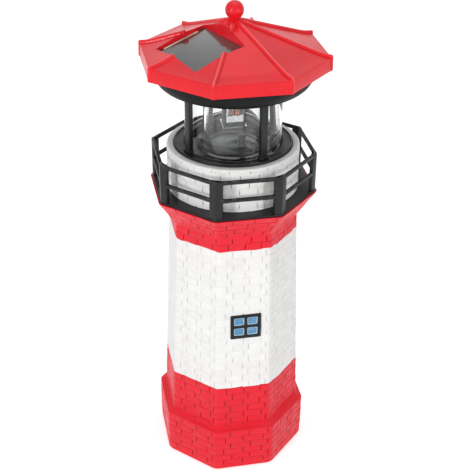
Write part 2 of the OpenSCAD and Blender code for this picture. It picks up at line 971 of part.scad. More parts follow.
// Half the angle of a tooth at a radius, for involute flanks of 20 degrees.
function involute(base_r, r) = let (a = acos(min(1, base_r / r))) tan(a) * 180 / PI - a;
function tooth_half(teeth, pitch_r, r) =
    82 / teeth + involute(pitch_r * cos(20), pitch_r) - involute(pitch_r * cos(20), r);

module toothed_wheel(teeth, turn, thick) {
    pitch_r = tooth_module * teeth / 2;
    root_r = pitch_r - 1.25 * tooth_module;
    tip_r = pitch_r + 0.85 * tooth_module;
    steps = 3;
    radii = [for (i = [0 : steps]) root_r + (tip_r - root_r) * i / steps];
    outline = [
        for (k = [0 : teeth - 1])
            for (side = [-1, 1])
                for (i = [0 : steps])
                    let (
                        r = radii[side < 0 ? i : steps - i],
                        a = turn + 360 * k / teeth + side * tooth_half(teeth, pitch_r, r)
                    )
                    [r * cos(a), r * sin(a)]
    ];
    linear_extrude(height = thick)
        polygon(outline);
}

module motor_can() {
    color(steel)
        translate([motor_x, 0, z_motor])
            difference() {
                union() {
                    cylinder(r = motor_d / 2, h = motor_h);
                    translate([0, 0, motor_h - eps])
                        cylinder(r = 2.5, h = 0.8);
                }
                translate([0, 0, 1])
                    cylinder(r = motor_shaft_d / 2 + running_gap, h = far);
            }
}

module motor_shaft() {
    color(steel)
        translate([motor_x, 0, z_motor + 1.3])
            cylinder(r = motor_shaft_d / 2, h = motor_h + wheel_t + 0.6);
}

module motor_pinion() {
    color([0.92, 0.88, 0.75])
        translate([motor_x, 0, z_wheel])
            difference() {
                toothed_wheel(pinion_teeth, 180 + 180 / pinion_teeth, wheel_t);
                translate([0, 0, -1])
                    cylinder(r = motor_shaft_d / 2, h = wheel_t + 2);
            }
}

module drive_wheel() {
    color([0.92, 0.88, 0.75])
        translate([0, 0, z_wheel])
            difference() {
                toothed_wheel(wheel_teeth, 0, wheel_t);
                translate([0, 0, -1])
                    cylinder(r = spindle_r, h = wheel_t + 2);
                for (a = [45 : 90 : 315])
                    rotate([0, 0, a])
                        translate([wheel_r * 0.6, 0, -1])
                            cylinder(r = wheel_r * 0.16, h = wheel_t + 2);
            }
}

module spindle_bush() {
    color([0.80, 0.62, 0.30])
        ring(bush_r, spindle_r + running_gap, z_housing, bush_top - z_housing);
}

module beacon_spindle() {
    color(steel)
        translate([0, 0, z_beacon])
            cylinder(r = spindle_r, h = z_wheel + wheel_t + 0.6 - z_beacon);
}

// ---------------------------------------------------------------- beacon

module tray_pocket(side) {
    rotate([0, 0, side > 0 ? 180 : 0])
        translate([-beacon_w / 2 + 1.2, -beacon_deep / 2 - 1, tray_z])
            cube([beacon_w - 2.4, tray_deep + 1, tray_h]);
}

module beacon_head() {
    color(black)
        difference() {
            union() {
                translate([-beacon_w / 2, -beacon_deep / 2, z_beacon - beacon_h])
                    cube([beacon_w, beacon_deep, beacon_h]);
                translate([0, 0, z_beacon - eps])
                    cylinder(r = spindle_r + 2, h = 2);
            }
            for (side = [-1, 1])
                tray_pocket(side);
            translate([0, 0, z_beacon])
                cylinder(r = spindle_r, h = 10);
        }
}

// Bright trays behind the lamp chips, one on each side of the head.
module beacon_reflectors() {
    sheet = 0.6;
    color([0.90, 0.90, 0.92])
        for (turn = [0, 180])
            rotate([0, 0, turn])
                difference() {
                    translate([-beacon_w / 2 + 1.3, -beacon_deep / 2 - 0.8, tray_z + 0.1])
                        cube([beacon_w - 2.6, tray_deep + 0.8, tray_h - 0.2]);
                    translate([-beacon_w / 2 + 1.3 + sheet, -beacon_deep / 2 - 2, tray_z + 0.1 + sheet])
                        cube([beacon_w - 2.6 - 2 * sheet, tray_deep + 2 - sheet, tray_h - 0.2 - 2 * sheet]);
                }
}

module beacon_lamps() {
    y_back = -beacon_deep / 2 + tray_deep - 0.6;
    body_h = 1.6;
    color(copper)
        for (turn = [0, 180], sx = [-1, 1])
            rotate([0, 0, turn])
                translate([sx * led_out, y_back, tray_z + tray_h / 2])
                    rotate([90, 0, 0])
                        rotate_extrude()
                            polygon(concat(
                                [[0, 0], [led_d / 2, 0], [led_d / 2, body_h]],
                                [for (a = [0 : 15 : 90]) [led_d * 0.42 * cos(a), body_h + led_d * 0.42 * sin(a)]]
                            ));
}

module beacon_plate() {
    color([0.90, 0.90, 0.92])
        translate([
            -beacon_w / 2 - plate_over,
            -beacon_deep / 2 - plate_over,
            z_beacon - beacon_h - plate_t
        ])
            cube([beacon_w + 2 * plate_over, beacon_deep + 2 * plate_over, plate_t]);
}

tower_plinth();
tower_shell();
tower_flare();
window_frame();
window_panes();
base_cover();
base_screws();
lantern_drum();
balcony_deck();
balcony_posts();
top_rails();
middle_rails();
lamp_base();
cage_posts();
lens_cylinder();
inner_tube();
head_housing();
housing_screws();
roof_cap();
finial_ball();
solar_panel();
cell_holder();
rechargeable_cell();
contact_spring();
contact_plate();
circuit_board();
board_parts();
switch_body();
switch_slider();
motor_can();
motor_shaft();
motor_pinion();
spindle_bush();
beacon_spindle();
drive_wheel();
beacon_head();
beacon_reflectors();
beacon_lamps();
beacon_plate();
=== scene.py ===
"""Looks of the garden lighthouse ornament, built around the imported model.

The painted brick tower, the gallery, the lamp head with its turning beacon and the ribbed roof
are surfaces worked out with numpy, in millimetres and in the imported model's frame.
"""

import bmesh
import bpy
import numpy as np
from mathutils import Matrix, Vector


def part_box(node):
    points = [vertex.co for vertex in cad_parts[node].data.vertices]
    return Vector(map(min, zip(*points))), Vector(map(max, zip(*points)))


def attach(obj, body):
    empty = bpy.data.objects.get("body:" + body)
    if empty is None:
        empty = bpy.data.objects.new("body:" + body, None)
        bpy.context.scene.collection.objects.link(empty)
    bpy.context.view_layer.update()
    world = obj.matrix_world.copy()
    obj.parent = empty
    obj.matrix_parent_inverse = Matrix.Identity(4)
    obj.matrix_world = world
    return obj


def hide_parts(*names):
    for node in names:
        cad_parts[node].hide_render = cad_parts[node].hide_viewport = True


bl_info = {
    "name": "Garden lighthouse ornament",
    "version": (1, 0, 0),
    "blender": (4, 5, 0),
    "location": "3D View > Sidebar > Lighthouse",
    "description": "Dresses the packed lighthouse in brickwork, paint and clear plastic",
    "category": "Add Mesh",
}

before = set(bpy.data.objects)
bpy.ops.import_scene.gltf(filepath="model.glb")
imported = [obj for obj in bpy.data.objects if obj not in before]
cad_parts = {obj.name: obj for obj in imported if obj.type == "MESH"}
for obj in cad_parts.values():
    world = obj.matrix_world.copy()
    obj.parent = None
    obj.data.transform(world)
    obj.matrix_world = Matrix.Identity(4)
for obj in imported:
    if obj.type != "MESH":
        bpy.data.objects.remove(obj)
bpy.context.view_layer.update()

MM = 0.001
EIGHTH = np.radians(45)
FLAT, HALF_SIDE = np.cos(EIGHTH / 2), np.sin(EIGHTH / 2)


def low_high(node):
    """Lowest and highest corner of a node in millimetres."""
    low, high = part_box(node)
    return np.array(low) / MM, np.array(high) / MM


DECK_LOW, DECK_TOP = (c[2] for c in low_high("balcony_deck"))
RAIL_TOP = low_high("top_rails")[1][2]
DRUM_LOW, DRUM_TOP = (c[2] for c in low_high("lantern_drum"))
HOUSING_LOW = low_high("head_housing")[0][2]

# Tower: corner radii and heights, the rounding of its corners, and the plinth's plain foot
PLINTH_CORNER, PLINTH_TOP, PLAIN_BAND = 59.5, 38.5, 4.0
SHAFT_FOOT, SHAFT_FOOT_CORNER = 40.0, 54.5
NECK, NECK_CORNER = 208.0, 48.5
RIM, RIM_CORNER = 228.6, 62.3
SOFT_CORNER = 4.0
# Window: its middle, its size, and the middles of its panes from its own
WINDOW_X, WINDOW_Z = 1.4, 132.8
WINDOW_W, WINDOW_H = 23, 20.5
PANE_X, PANE_Z = 5.05, 4.42
# Drum: radii, the step in its mouth, the bricks in a course and where their round starts
DRUM_R, DRUM_BORE, MOUTH_R, MOUTH_STEP = 47.5, 40.6, 42.6, 259.0
DRUM_BRICKS, DRUM_START = 23, -17.2
# Gallery and lamp base
DECK_CORNER, RAIL_CORNER, RAIL_DEEP = 61.0, 60.6, 2.4
FLANGE_TOP, LAMP_FLOOR, SKIRT_LOW = 262.7, 259.7, 244.0
STUD = (5.869, -1.247)
CAGE_TURNS = (-67.5, 22.5, 112.5, 202.5)
# Roof: corner radius and heights, and the strip along the eave where it flattens
EAVE_CORNER, EAVE, FASCIA_LOW, PEAK = 66.6, 329.7, 320.5, 351.5
STRIP, STRIP_SLOPE = 12, 0.12
ROOF_SLOPE = (PEAK - EAVE - STRIP * STRIP_SLOPE / 2) / (EAVE_CORNER - STRIP / 2)
# Solar panel: its turn and place, its size and how far it is sunk
PANEL_TURN, PANEL_OUT, PANEL_Z, PANEL_TILT = -67.5, 27.6, 335.5, np.radians(15.3)
PANEL_L, PANEL_W, PANEL_THICK, PANEL_SUNK, PANEL_GAP = 38.9, 49.6, 2.2, 0.4, 0.5
# Screws: the radius of their circle and their turns from +X
FOOT_SCREWS = 46.5, (45, 135, 225, 315)
HOUSING_SCREWS = 40.8, (-112.5, -22.5, 67.5, 157.5)


# ------------------------------------------------------------------ settings


def colour(name, description, value):
    return bpy.props.FloatVectorProperty(
        name=name, description=description, default=value, subtype="COLOR", size=3, min=0, max=1
    )


def length(name, description, mm):
    return bpy.props.FloatProperty(
        name=name, description=description, default=mm * MM, unit="LENGTH", precision=5
    )


def power(name, description, watts):
    return bpy.props.FloatProperty(
        name=name, description=description, default=watts, unit="POWER"
    )


class LighthouseWalls(bpy.types.PropertyGroup):
    """Brickwork and paint of the tower and the drum"""

    course: length("Course", "Height of one course of bricks", 5.72)
    first_course: length("First course", "Height of the first joint above the plinth", 42.5)
    joint_wide: length("Joint width", "Half the width of a joint at the bricks' faces", 0.3)
    joint_deep: length("Joint depth", "Depth of an upright joint", 0.6)
    uneven: length("Unevenness", "How far a brick may stand out or in", 0.13)
    wander: length("Wander", "How far a joint may lie from its even place", 0.9)
    white_low: length("White from", "Height of the white band's lower edge", 77.0)
    white_high: length("White to", "Height of the white band's upper edge", 196.9)
    seed: bpy.props.IntProperty(name="Seed", description="Picks another set of bricks", default=7)
    drum_white: colour("Drum white", "Colour of the drum", (0.95, 0.95, 0.94))
    red: colour("Red paint", "Colour of the red bands", (0.81, 0.009, 0.027))
    white: colour("White paint", "Colour of the white band", (0.88, 0.88, 0.87))


class LighthouseGallery(bpy.types.PropertyGroup):
    """Deck, posts and rails"""

    rail_high: length("Rail height", "Height of a rail's section", 2.6)
    middle_rail: length("Middle rail", "Height of the middle rail above the deck", 13.6)
    post_wing: length("Post wing", "Length of each wing of a corner post", 5.0)
    edge: length("Edge rounding", "Rounding of the mouldings' edges", 0.5)
    black: colour("Black", "Colour of the moulding", (0.010, 0.010, 0.011))
    # Colour of the lighter edges: partly wear and partly a painted highlight.
    worn: colour("Worn", "Colour of the edge wear and highlight", (0.075, 0.075, 0.08))


class LighthouseLamp(bpy.types.PropertyGroup):
    """Lens, lamp base, housing and beacon"""

    lens_radius: length("Lens radius", "Outside radius of the clear lens", 34.5)
    lens_wall: length("Lens wall", "Wall of the clear lens", 1.8)
    tube_radius: length("Tube radius", "Outside radius of the inner clear tube", 21.0)
    tube_wall: length("Tube wall", "Wall of the inner clear tube", 1.5)
    clear: colour("Clear plastic", "Tint of the clear plastic", (0.97, 0.98, 0.98))
    black: colour("Black", "Colour of the lamp's black plastic", (0.012, 0.012, 0.014))


class LighthouseRoof(bpy.types.PropertyGroup):
    """Roof, ball and solar panel"""

    rib_wide: length("Rib width", "Width of a hip rib", 3.4)
    rib_high: length("Rib height", "Height of a hip rib above the roof", 1.8)
    ball: length("Ball radius", "Radius of the ball on the peak", 6.4)
    red: colour("Red plastic", "Colour of the roof and the ball", (0.80, 0.010, 0.020))


class LighthouseStage(bpy.types.PropertyGroup):
    """Floor, background, lamps and camera"""

    sky: bpy.props.FloatProperty(
        name="Soft light", description="Strength of the even light from all round", default=0.47
    )
    left_lamp: power("Left lamp", "Power of the left soft lamp", 8.2)
    right_lamp: power("Right lamp", "Power of the right soft lamp", 5.0)
    top_lamp: power("Top lamp", "Power of the soft lamp overhead", 6.0)
    floor: colour("Floor", "Colour of the floor", (0.93, 0.93, 0.93))


# ------------------------------------------------------------------ shapes


def along_out(turn):
    """Unit vectors along a side and out of it, for a side whose middle lies turn degrees from -Y
    towards +X."""
    a = np.radians(np.asarray(turn, float))
    return np.stack([np.cos(a), np.sin(a)], -1), np.stack([np.sin(a), -np.cos(a)], -1)


def quads(rows, columns, round_rows, round_columns):
    """Corners of the cells of a grid: each cell joins a point, its right neighbour, the point
    above that and the point above the first."""
    r, c = np.meshgrid(
        np.arange(rows - (not round_rows)), np.arange(columns - (not round_columns)), indexing="ij"
    )
    r1, c1 = (r + 1) % rows, (c + 1) % columns
    ids = [r * columns + c, r * columns + c1, r1 * columns + c1, r1 * columns + c]
    return np.stack(ids, -1).reshape(-1, 4)


def smooth(mesh, angle=32.0):
    """Shades a mesh smooth but for edges sharper than an angle."""
    mesh.shade_smooth()
    mesh.set_sharp_from_angle(angle=np.radians(angle))


def linked(name, data):
    """A new object in the scene."""
    made = bpy.data.objects.new(name, data)
    bpy.context.scene.collection.objects.link(made)
    return made


class Shape:
    """Grids, fans and flat ends that together make closed surfaces, in millimetres."""

    def __init__(self):
        self.points, self.faces, self.slots, self.marks, self.count = [], [], [], {}, 0

    def grid(self, xyz, round_rows=False, slot=0, **marks):
        """Adds a grid of points. Rows run up and columns run anticlockwise seen from above, so
        its cells face outwards. marks are values at its points."""
        rows, columns = xyz.shape[:2]
        ids = self.count + np.arange(rows * columns).reshape(rows, columns)
        cells = self.count + quads(rows, columns, round_rows, True)
        self.points.append(xyz.reshape(-1, 3))
        self.faces += cells.tolist()
        self.slots += [slot] * len(cells)
        for name, values in marks.items():
            self.marks.setdefault(name, []).append((self.count, np.ravel(values)))
        self.count += rows * columns
        return ids

    def lid(self, ring, slot=0):
        """Closes a ring that runs anticlockwise seen from outside with one flat face."""
        self.faces.append([int(i) for i in ring])
        self.slots.append(slot)

    def lids(self, ids, slot=0):
        """Closes both ends of a grid with flat faces."""
        self.lid(ids[0][::-1], slot)
        self.lid(ids[-1], slot)

    def pole(self, ring, point, slot=0):
        """Closes a ring with a fan of triangles that meet in a point."""
        self.points.append(np.array([point], float))
        self.faces += [[int(a), int(b), self.count] for a, b in zip(ring, np.roll(ring, -1))]
        self.slots += [slot] * len(ring)
        self.count += 1

    def mesh(self, name, angle=32.0):
        """One mesh of all that was added."""
        mesh = bpy.data.meshes.new(name)
        mesh.from_pydata((np.concatenate(self.points) * MM).tolist(), [], self.faces)
        mesh.polygons.foreach_set("material_index", self.slots)
        for mark, parts in self.marks.items():
            values = np.zeros(self.count, np.float32)
            for start, some in parts:
                values[start : start + len(some)] = some
            mesh.attributes.new(mark, "FLOAT", "POINT").data.foreach_set("value", values)
        smooth(mesh, angle)
        mesh.update()
        return mesh


def soften(points, radius, steps=3, closed=True):
    """Rounds the corners of a line: each becomes the curve (1-t)^2 A + 2t(1-t) C + t^2 B, where C
    is the corner and A and B lie radius before and after it."""
    p = np.asarray(points, float)
    before, after = np.roll(p, 1, 0) - p, np.roll(p, -1, 0) - p
    ends = []
    for way in (before, after):
        long = np.linalg.norm(way, axis=1, keepdims=True)
        ends.append((p + way / long * np.minimum(radius, 0.45 * long))[:, None])
    t = np.linspace(0, 1, steps + 1)[None, :, None]
    curve = (1 - t) ** 2 * ends[0] + 2 * t * (1 - t) * p[:, None] + t**2 * ends[1]
    if closed:
        return curve.reshape(-1, p.shape[1])
    return np.concatenate([p[:1], curve[1:-1].reshape(-1, p.shape[1]), p[-1:]])


def inset(plan, by):
    """A closed outline that runs anticlockwise, moved inwards by a distance: each point moves
    along the bisector of its two sides' normals."""
    side = np.roll(plan, -1, 0) - plan
    side /= np.linalg.norm(side, axis=1, keepdims=True)
    inward = np.stack([-side[:, 1], side[:, 0]], -1)
    before = np.roll(inward, 1, 0)
    return plan + by * (inward + before) / (1 + (inward * before).sum(1, keepdims=True))


def level(plan, z):
    """An outline's points at a height."""
    return np.column_stack([plan, np.full(len(plan), z)])


def prism(shape, plan, low, high, edge, place=None, slot=0):
    """A closed outline carried up from low to high. Near both ends it is drawn in along a quarter
    circle, so that the edges are round. place puts its points where they belong. The mark edge
    is 1 where it is drawn in and 0.7 along short sides."""
    a = np.radians([0, 30, 60, 90])
    draw_in, rise = edge * (1 - np.sin(a)), edge * (1 - np.cos(a))
    steps = list(zip(draw_in, low + rise)) + list(zip(draw_in[::-1], high - rise[::-1]))
    xyz = np.stack([level(inset(plan, d), z) for d, z in steps])
    side = np.linalg.norm(np.roll(plan, -1, 0) - plan, axis=1)
    bend = (np.minimum(side, np.roll(side, 1)) < 0.6) * 0.7
    ends = np.array([d for d, _ in steps]) > 0.01
    mark = np.maximum(ends[:, None] * 1.0, bend[None, :])
    shape.lids(shape.grid(place(xyz) if place else xyz, slot=slot, edge=mark), slot)


def turned(shape, profile, steps=96, centre=(0, 0), closed=False, slot=0):
    """A line of (radius, height) turned about an upright axis. A closed line makes a ring; an
    open one starts and ends on the axis."""
    p = np.asarray(profile, float)
    wall = p[p[:, 0] > 0]
    a = np.linspace(0, 2 * np.pi, steps, endpoint=False)
    x, y = centre[0] + wall[:, :1] * np.cos(a), centre[1] + wall[:, :1] * np.sin(a)
    xyz = np.stack([x, y, np.broadcast_to(wall[:, 1:], x.shape)], -1)
    ids = shape.grid(xyz, round_rows=closed, slot=slot)
    if not closed:
        shape.pole(ids[0][::-1], (*centre, p[0, 1]), slot)
        shape.pole(ids[-1], (*centre, p[-1, 1]), slot)


def box_plan(width, deep, radius, middle=(0, 0)):
    """Outline of a rectangle with rounded corners."""
    x, y = width / 2, deep / 2
    return soften([(-x, -y), (x, -y), (x, y), (-x, y)], radius) + np.array(middle)


def turned_by(turn):
    """Puts points that are made for the side towards -Y on the side at turn degrees."""
    a = np.radians(turn)
    spin = np.array([[np.cos(a), np.sin(a), 0], [-np.sin(a), np.cos(a), 0], [0, 0, 1]])
    return lambda xyz: xyz @ spin


def solid(name, xyz, peak):
    """A closed form from rings that run up to a point and down to a flat underside."""
    shape = Shape()
    ids = shape.grid(xyz)
    shape.lid(ids[0][::-1])
    shape.pole(ids[-1], (0, 0, peak))
    return linked(name, shape.mesh(name))


def block(name, plan, low, high, place):
    """A closed upright block of an outline, put in its place."""
    shape = Shape()
    shape.lids(shape.grid(place(np.stack([level(plan, low), level(plan, high)]))))
    return linked(name, shape.mesh(name))


def cut(target, *tools):
    """Takes the tools away from the target and applies the result."""
    for tool in tools:
        change = target.modifiers.new("cut", "BOOLEAN")
        change.object, change.solver = tool, "EXACT"
    seen = target.evaluated_get(bpy.context.evaluated_depsgraph_get())
    mesh = bpy.data.meshes.new_from_object(seen)
    target.modifiers.clear()
    target.data = mesh
    for tool in tools:
        bpy.data.objects.remove(tool)


def bevelled(made, width, angle):
    """Rounds an object's edges that are sharper than an angle."""
    bevel = made.modifiers.new("rounded edges", "BEVEL")
    bevel.width, bevel.segments, bevel.harden_normals = width * MM, 2, True
    bevel.limit_method, bevel.angle_limit = "ANGLE", np.radians(angle)


def screws(circle, turns, top, radius=2.8, high=1.6, steps=40):
    """Screws on a circle, heads down. The head is a dome whose height falls with the square of
    the radius, less a cross-shaped recess that is deep where a point lies near either of two
    lines."""
    r = np.array([0.25, 0.5, 0.8, 1.1, 1.4, 1.7, 2.1, 2.5, 2.75, 2.8]) / 2.8 * radius
    a = np.linspace(0, 2 * np.pi, steps, endpoint=False)
    x, y = r[:, None] * np.cos(a), r[:, None] * np.sin(a)
    dome = high * (1 - 0.25 * (r[:, None] / radius) ** 2 - 0.5 * (r[:, None] / radius) ** 12)
    arm = np.minimum(np.abs(x), np.abs(y))
    near = np.clip((0.55 - arm) / 0.2, 0, 1) * np.clip((1.75 - np.hypot(x, y)) / 0.3, 0, 1)
    head = np.stack([x, y, dome - 0.9 * near], -1)
    wall = [(radius, high * 0.2), (radius, 0.0), (1.5, 0.0), (1.5, -12.0), (0.8, -13.5)]
    side = np.stack([np.stack([q * np.cos(a), q * np.sin(a), z + 0 * a], -1) for q, z in wall])
    rows = np.concatenate([head, side])[::-1]
    shape = Shape()
    for turn in np.radians(turns):
        middle = np.array([circle * np.cos(turn), circle * np.sin(turn), top])
        ids = shape.grid(rows * [1, -1, -1] + middle)
        shape.pole(ids[-1], np.array([0, 0, dome[0, 0] - 0.9]) * [1, -1, -1] + middle)
        shape.lid(ids[0][::-1])
    return shape


# ------------------------------------------------------------------ brickwork

PLAIN_ROW = (0, 0, 0, 0, 0)


def wall_lines(units, joints, plain, wide, floor):
    """Upright lines of a brick wall that goes round in equal units. joints are shares of a unit,
    in turn for even and odd courses, and each gets four lines: two at the bricks' edges and two
    on the joint's floor. plain are (share, shift) of lines between them. room says how far each
    joint may wander, less near a unit's ends."""
    lines = [(share, shift, -1, 0) for share, shift in plain]
    for j, share in enumerate(joints):
        lines += [(share, -wide, j, 0), (share, -floor, j, 1)]
        lines += [(share, floor, j, 1), (share, wide, j, 0)]
    lines.sort(key=lambda line: line[0] * 40 + line[1])
    share, shift, joint, deep = (np.tile(part, units) for part in zip(*lines))
    unit = np.repeat(np.arange(units), len(lines))
    room = np.clip((0.5 - np.abs(np.array(joints) - 0.5)) * 6, 0, 1)
    return {
        "unit": unit,
        "share": share,
        "shift": shift,
        "number": np.where(joint < 0, -1, unit * len(joints) + joint),
        "floor": deep,
        "room": np.tile(room, units),
    }


def course_rows(start, cuts, end, wide, floor, first):
    """Level lines of a brick wall between two heights: (height, course, share of the course,
    on a joint's floor, inside the brick). Each cut is a level joint with four lines, and each
    course has two more."""
    rows, low = [], start
    for n, cut_at in enumerate([*cuts, end]):
        a, b = low + (wide if n else 0), cut_at - (wide if n < len(cuts) else 0)
        for share in (0, 1 / 3, 2 / 3, 1):
            rows.append((a + (b - a) * share, first + n, share, 0, 0 < share < 1))
        if n < len(cuts):
            rows += [(cut_at - floor, first + n, 1, 1, 0), (cut_at + floor, first + n + 1, 0, 1, 0)]
        low = cut_at
    return rows


def relief(lines, rows, walls, seed, shallow=0.3):
    """How a brick wall's points lie: their shift along the wall, how far they stand out of it,
    how deep in a joint they are from 0 to 1, and their brick's own number from 0 to 1. A joint
    wanders by a random amount in each course, a brick stands out by its own random amount and
    swells a little towards its middle, and joints drop to their floor. An upright joint is deep
    in its middle and shallow at its ends, and shallow is a level joint's share of its depth."""
    chance = np.random.default_rng(seed)
    course = np.array([r[1] for r in rows])
    share, on_floor, inside = (np.array([r[i] for r in rows], float)[:, None] for i in (2, 3, 4))
    number, level_joint = lines["number"], on_floor > 0
    upright_floor = lines["floor"] == 1
    joints = number.max() + 1
    size = (course.max() + 1, joints)
    wander = chance.uniform(-1, 1, size) * walls.wander / MM * lines["room"]
    lean = chance.uniform(-1, 1, size) * 0.3 * lines["room"]
    height = chance.uniform(-1, 1, size) * walls.uneven / MM
    tone = chance.uniform(0, 1, size)
    depth = chance.uniform(0.55, 1.0, size) * walls.joint_deep / MM
    dark = chance.uniform(0.45, 1.0, size)
    row = course[:, None]
    here = np.maximum(number, 0)[None, :]
    live = (number >= 0)[None, :] & (here % 2 == row % 2)
    shift = lines["shift"] + np.where(live, wander[row, here] + lean[row, here] * (share - 0.5), 0)
    past = upright_floor & (lines["shift"] > 0)
    bricks = np.stack([np.cumsum(past & (number % 2 == odd)) for odd in (0, 1)])
    brick = bricks[course % 2] % (joints // 2)
    out = height[row, brick] + np.where((inside > 0) & ~upright_floor, 0.1, 0)
    full = np.where((share > 0) & (share < 1), 1.0, 0.15)
    upright = live & upright_floor
    out = np.where(upright, -depth[row, here] * full, out)
    low = -shallow * depth[row, brick]
    out = np.where(level_joint, np.where(upright, np.minimum(out, low), low), out)
    # joint is the strength of the painted shade in each point's joint groove
    joint = np.where(upright, dark[row, here] * full, 0.0)
    joint = np.where(level_joint, np.maximum(joint, 0.5 * shallow), joint)
    return shift, out, joint, tone[row, brick]


def corner_lines(radius):
    """(share, shift) of the lines that round a side's ends off with a radius: the corner itself,
    and on either side the arc's middle and its end."""
    end, middle = radius * np.tan(EIGHTH / 2), radius * np.sin(EIGHTH / 4)
    return ((0, 0), (0, end - middle), (0, end), (1, -end), (1, middle - end))


def side_points(corner, unit, share, shift, out, radius=SOFT_CORNER, grow=1.0):
    """Points on an eight-sided ring: a point lies (share - 1/2) of the side plus shift along it,
    and stands out of it. Its corners are arcs of a radius, which is grow times wider."""
    lines, ends = corner_lines(radius), np.abs(share - 0.5) == 0.5
    arc = ends & (np.abs(np.abs(shift) - lines[1][1]) < 1e-6)
    radius = radius * grow
    out = out - np.where(arc, radius * (1 - np.cos(EIGHTH / 4)), 0)
    along, outward = along_out(45.0 * unit)
    x = (share - 0.5) * 2 * corner * HALF_SIDE + shift * np.where(ends, grow, 1.0)
    xy = x[..., None] * along + (corner * FLAT + out)[..., None] * outward
    at_corner = (share == 0) & (np.abs(shift) < 1e-6)
    radial = along_out(45.0 * unit - 22.5)[1]
    ring = (corner - radius * (1 / FLAT - 1) + np.minimum(out, 0))[..., None]
    return np.where(at_corner[..., None], ring * radial, xy)


def shaft_corner(z):
    return np.interp(z, [SHAFT_FOOT, NECK], [SHAFT_FOOT_CORNER, NECK_CORNER])


def tower_walls(walls):
    """The tower as one ring of lines carried over its whole outline: up the plinth, the ledge,
    the shaft and the flare with their bricks, in under the deck, and down the smooth inside."""
    wide = walls.joint_wide / MM
    floor = 0.35 * wide
    shares = (1 / 6, 0.278, 0.5, 0.611, 0.833, 0.93)
    plain = corner_lines(SOFT_CORNER) + ((0.09, 0), (0.39, 0), (0.555, 0), (0.722, 0))
    lines = wall_lines(8, shares, plain, wide, floor)
    rings = []

    def plain_rings(*places, kind="plain"):
        rings.extend((kind, corner, z, PLAIN_ROW) for corner, z in places)

    def brick_rings(start, cuts, end, place, number):
        for row in course_rows(start, cuts, end, wide, floor, number):
            rings.append(("brick", *place(row[0]), row))

    plain_rings((56.3, 0.0), (57.0, 0.0), (57.96, 0.19), (58.77, 0.73), (59.31, 1.54))
    plain_rings((59.5, 2.5), (59.5, PLAIN_BAND - 0.35), (59.3, PLAIN_BAND))
    cuts = PLAIN_BAND + np.arange(1, 6) * (PLINTH_TOP - PLAIN_BAND) / 6
    brick_rings(PLAIN_BAND + 0.3, cuts, PLINTH_TOP - 0.5, lambda z: (PLINTH_CORNER, z), 2)
    ledge = [(0.2, -0.12), (0.6, 0.05), (2.0, 0.4), (4.3, 1.25), (4.9, 1.6)]
    plain_rings(*[(PLINTH_CORNER - out, PLINTH_TOP + up) for out, up in ledge])
    cuts = np.arange(walls.first_course / MM, NECK - 2, walls.course / MM)
    brick_rings(SHAFT_FOOT + 0.6, cuts, NECK - 0.3, lambda z: (shaft_corner(z), z), 10)
    plain_rings((48.55, NECK))
    slope = np.hypot(RIM - NECK, (RIM_CORNER - NECK_CORNER) * FLAT)

    def up_flare(d):
        return NECK_CORNER + (RIM_CORNER - NECK_CORNER) * d / slope, NECK + (RIM - NECK) * d / slope

    brick_rings(0.4, np.arange(1, 4) * slope / 4, slope - 0.3, up_flare, 50)
    plain_rings((RIM_CORNER - 0.15, RIM), (RIM_CORNER - 1.2, RIM), (59.36, DECK_LOW))
    plain_rings((43.8, DECK_LOW), (43.8, DECK_LOW - 3), kind="round")
    plain_rings((54.8, DECK_LOW - 3), (45.25, NECK), (51.25, 37.0), (56.25, 35.5))

    shift, out, joint, tone = relief(lines, [r[3] for r in rings], walls, walls.seed)
    kinds = np.array([r[0] for r in rings])[:, None]
    brick, circle = kinds == "brick", kinds == "round"
    shift = np.where(brick, shift, lines["shift"])
    out, joint = np.where(brick, out, 0.0), np.where(brick, joint, 0.0)
    corner, z, unit, share = (
        np.broadcast_to(values, shift.shape)
        for values in (
            np.array([r[1] for r in rings], float)[:, None],
            np.array([r[2] for r in rings], float)[:, None],
            lines["unit"],
            lines["share"],
        )
    )
    x = (share - 0.5) * 2 * corner * HALF_SIDE + shift
    behind_window = (unit == 0) & (np.abs(x - WINDOW_X) < 10.8) & (np.abs(z - WINDOW_Z) < 9.6)
    out = np.where(behind_window, np.minimum(out, -0.05), out)
    grow = np.where((z < 12) & (corner > 56.9), np.interp(z, [0, 3, 12], [2.1, 1.9, 1.0]), 1.0)
    xy = side_points(corner, unit, share, shift, out, grow=grow)
    reach = np.linalg.norm(xy, axis=-1, keepdims=True)
    xy = np.where(circle[..., None], xy / reach * corner[..., None], xy)
    shape = Shape()
    shape.grid(np.concatenate([xy, z[..., None]], -1), round_rows=True, joint=joint, tone=tone)
    return shape.mesh("tower_walls", 38)


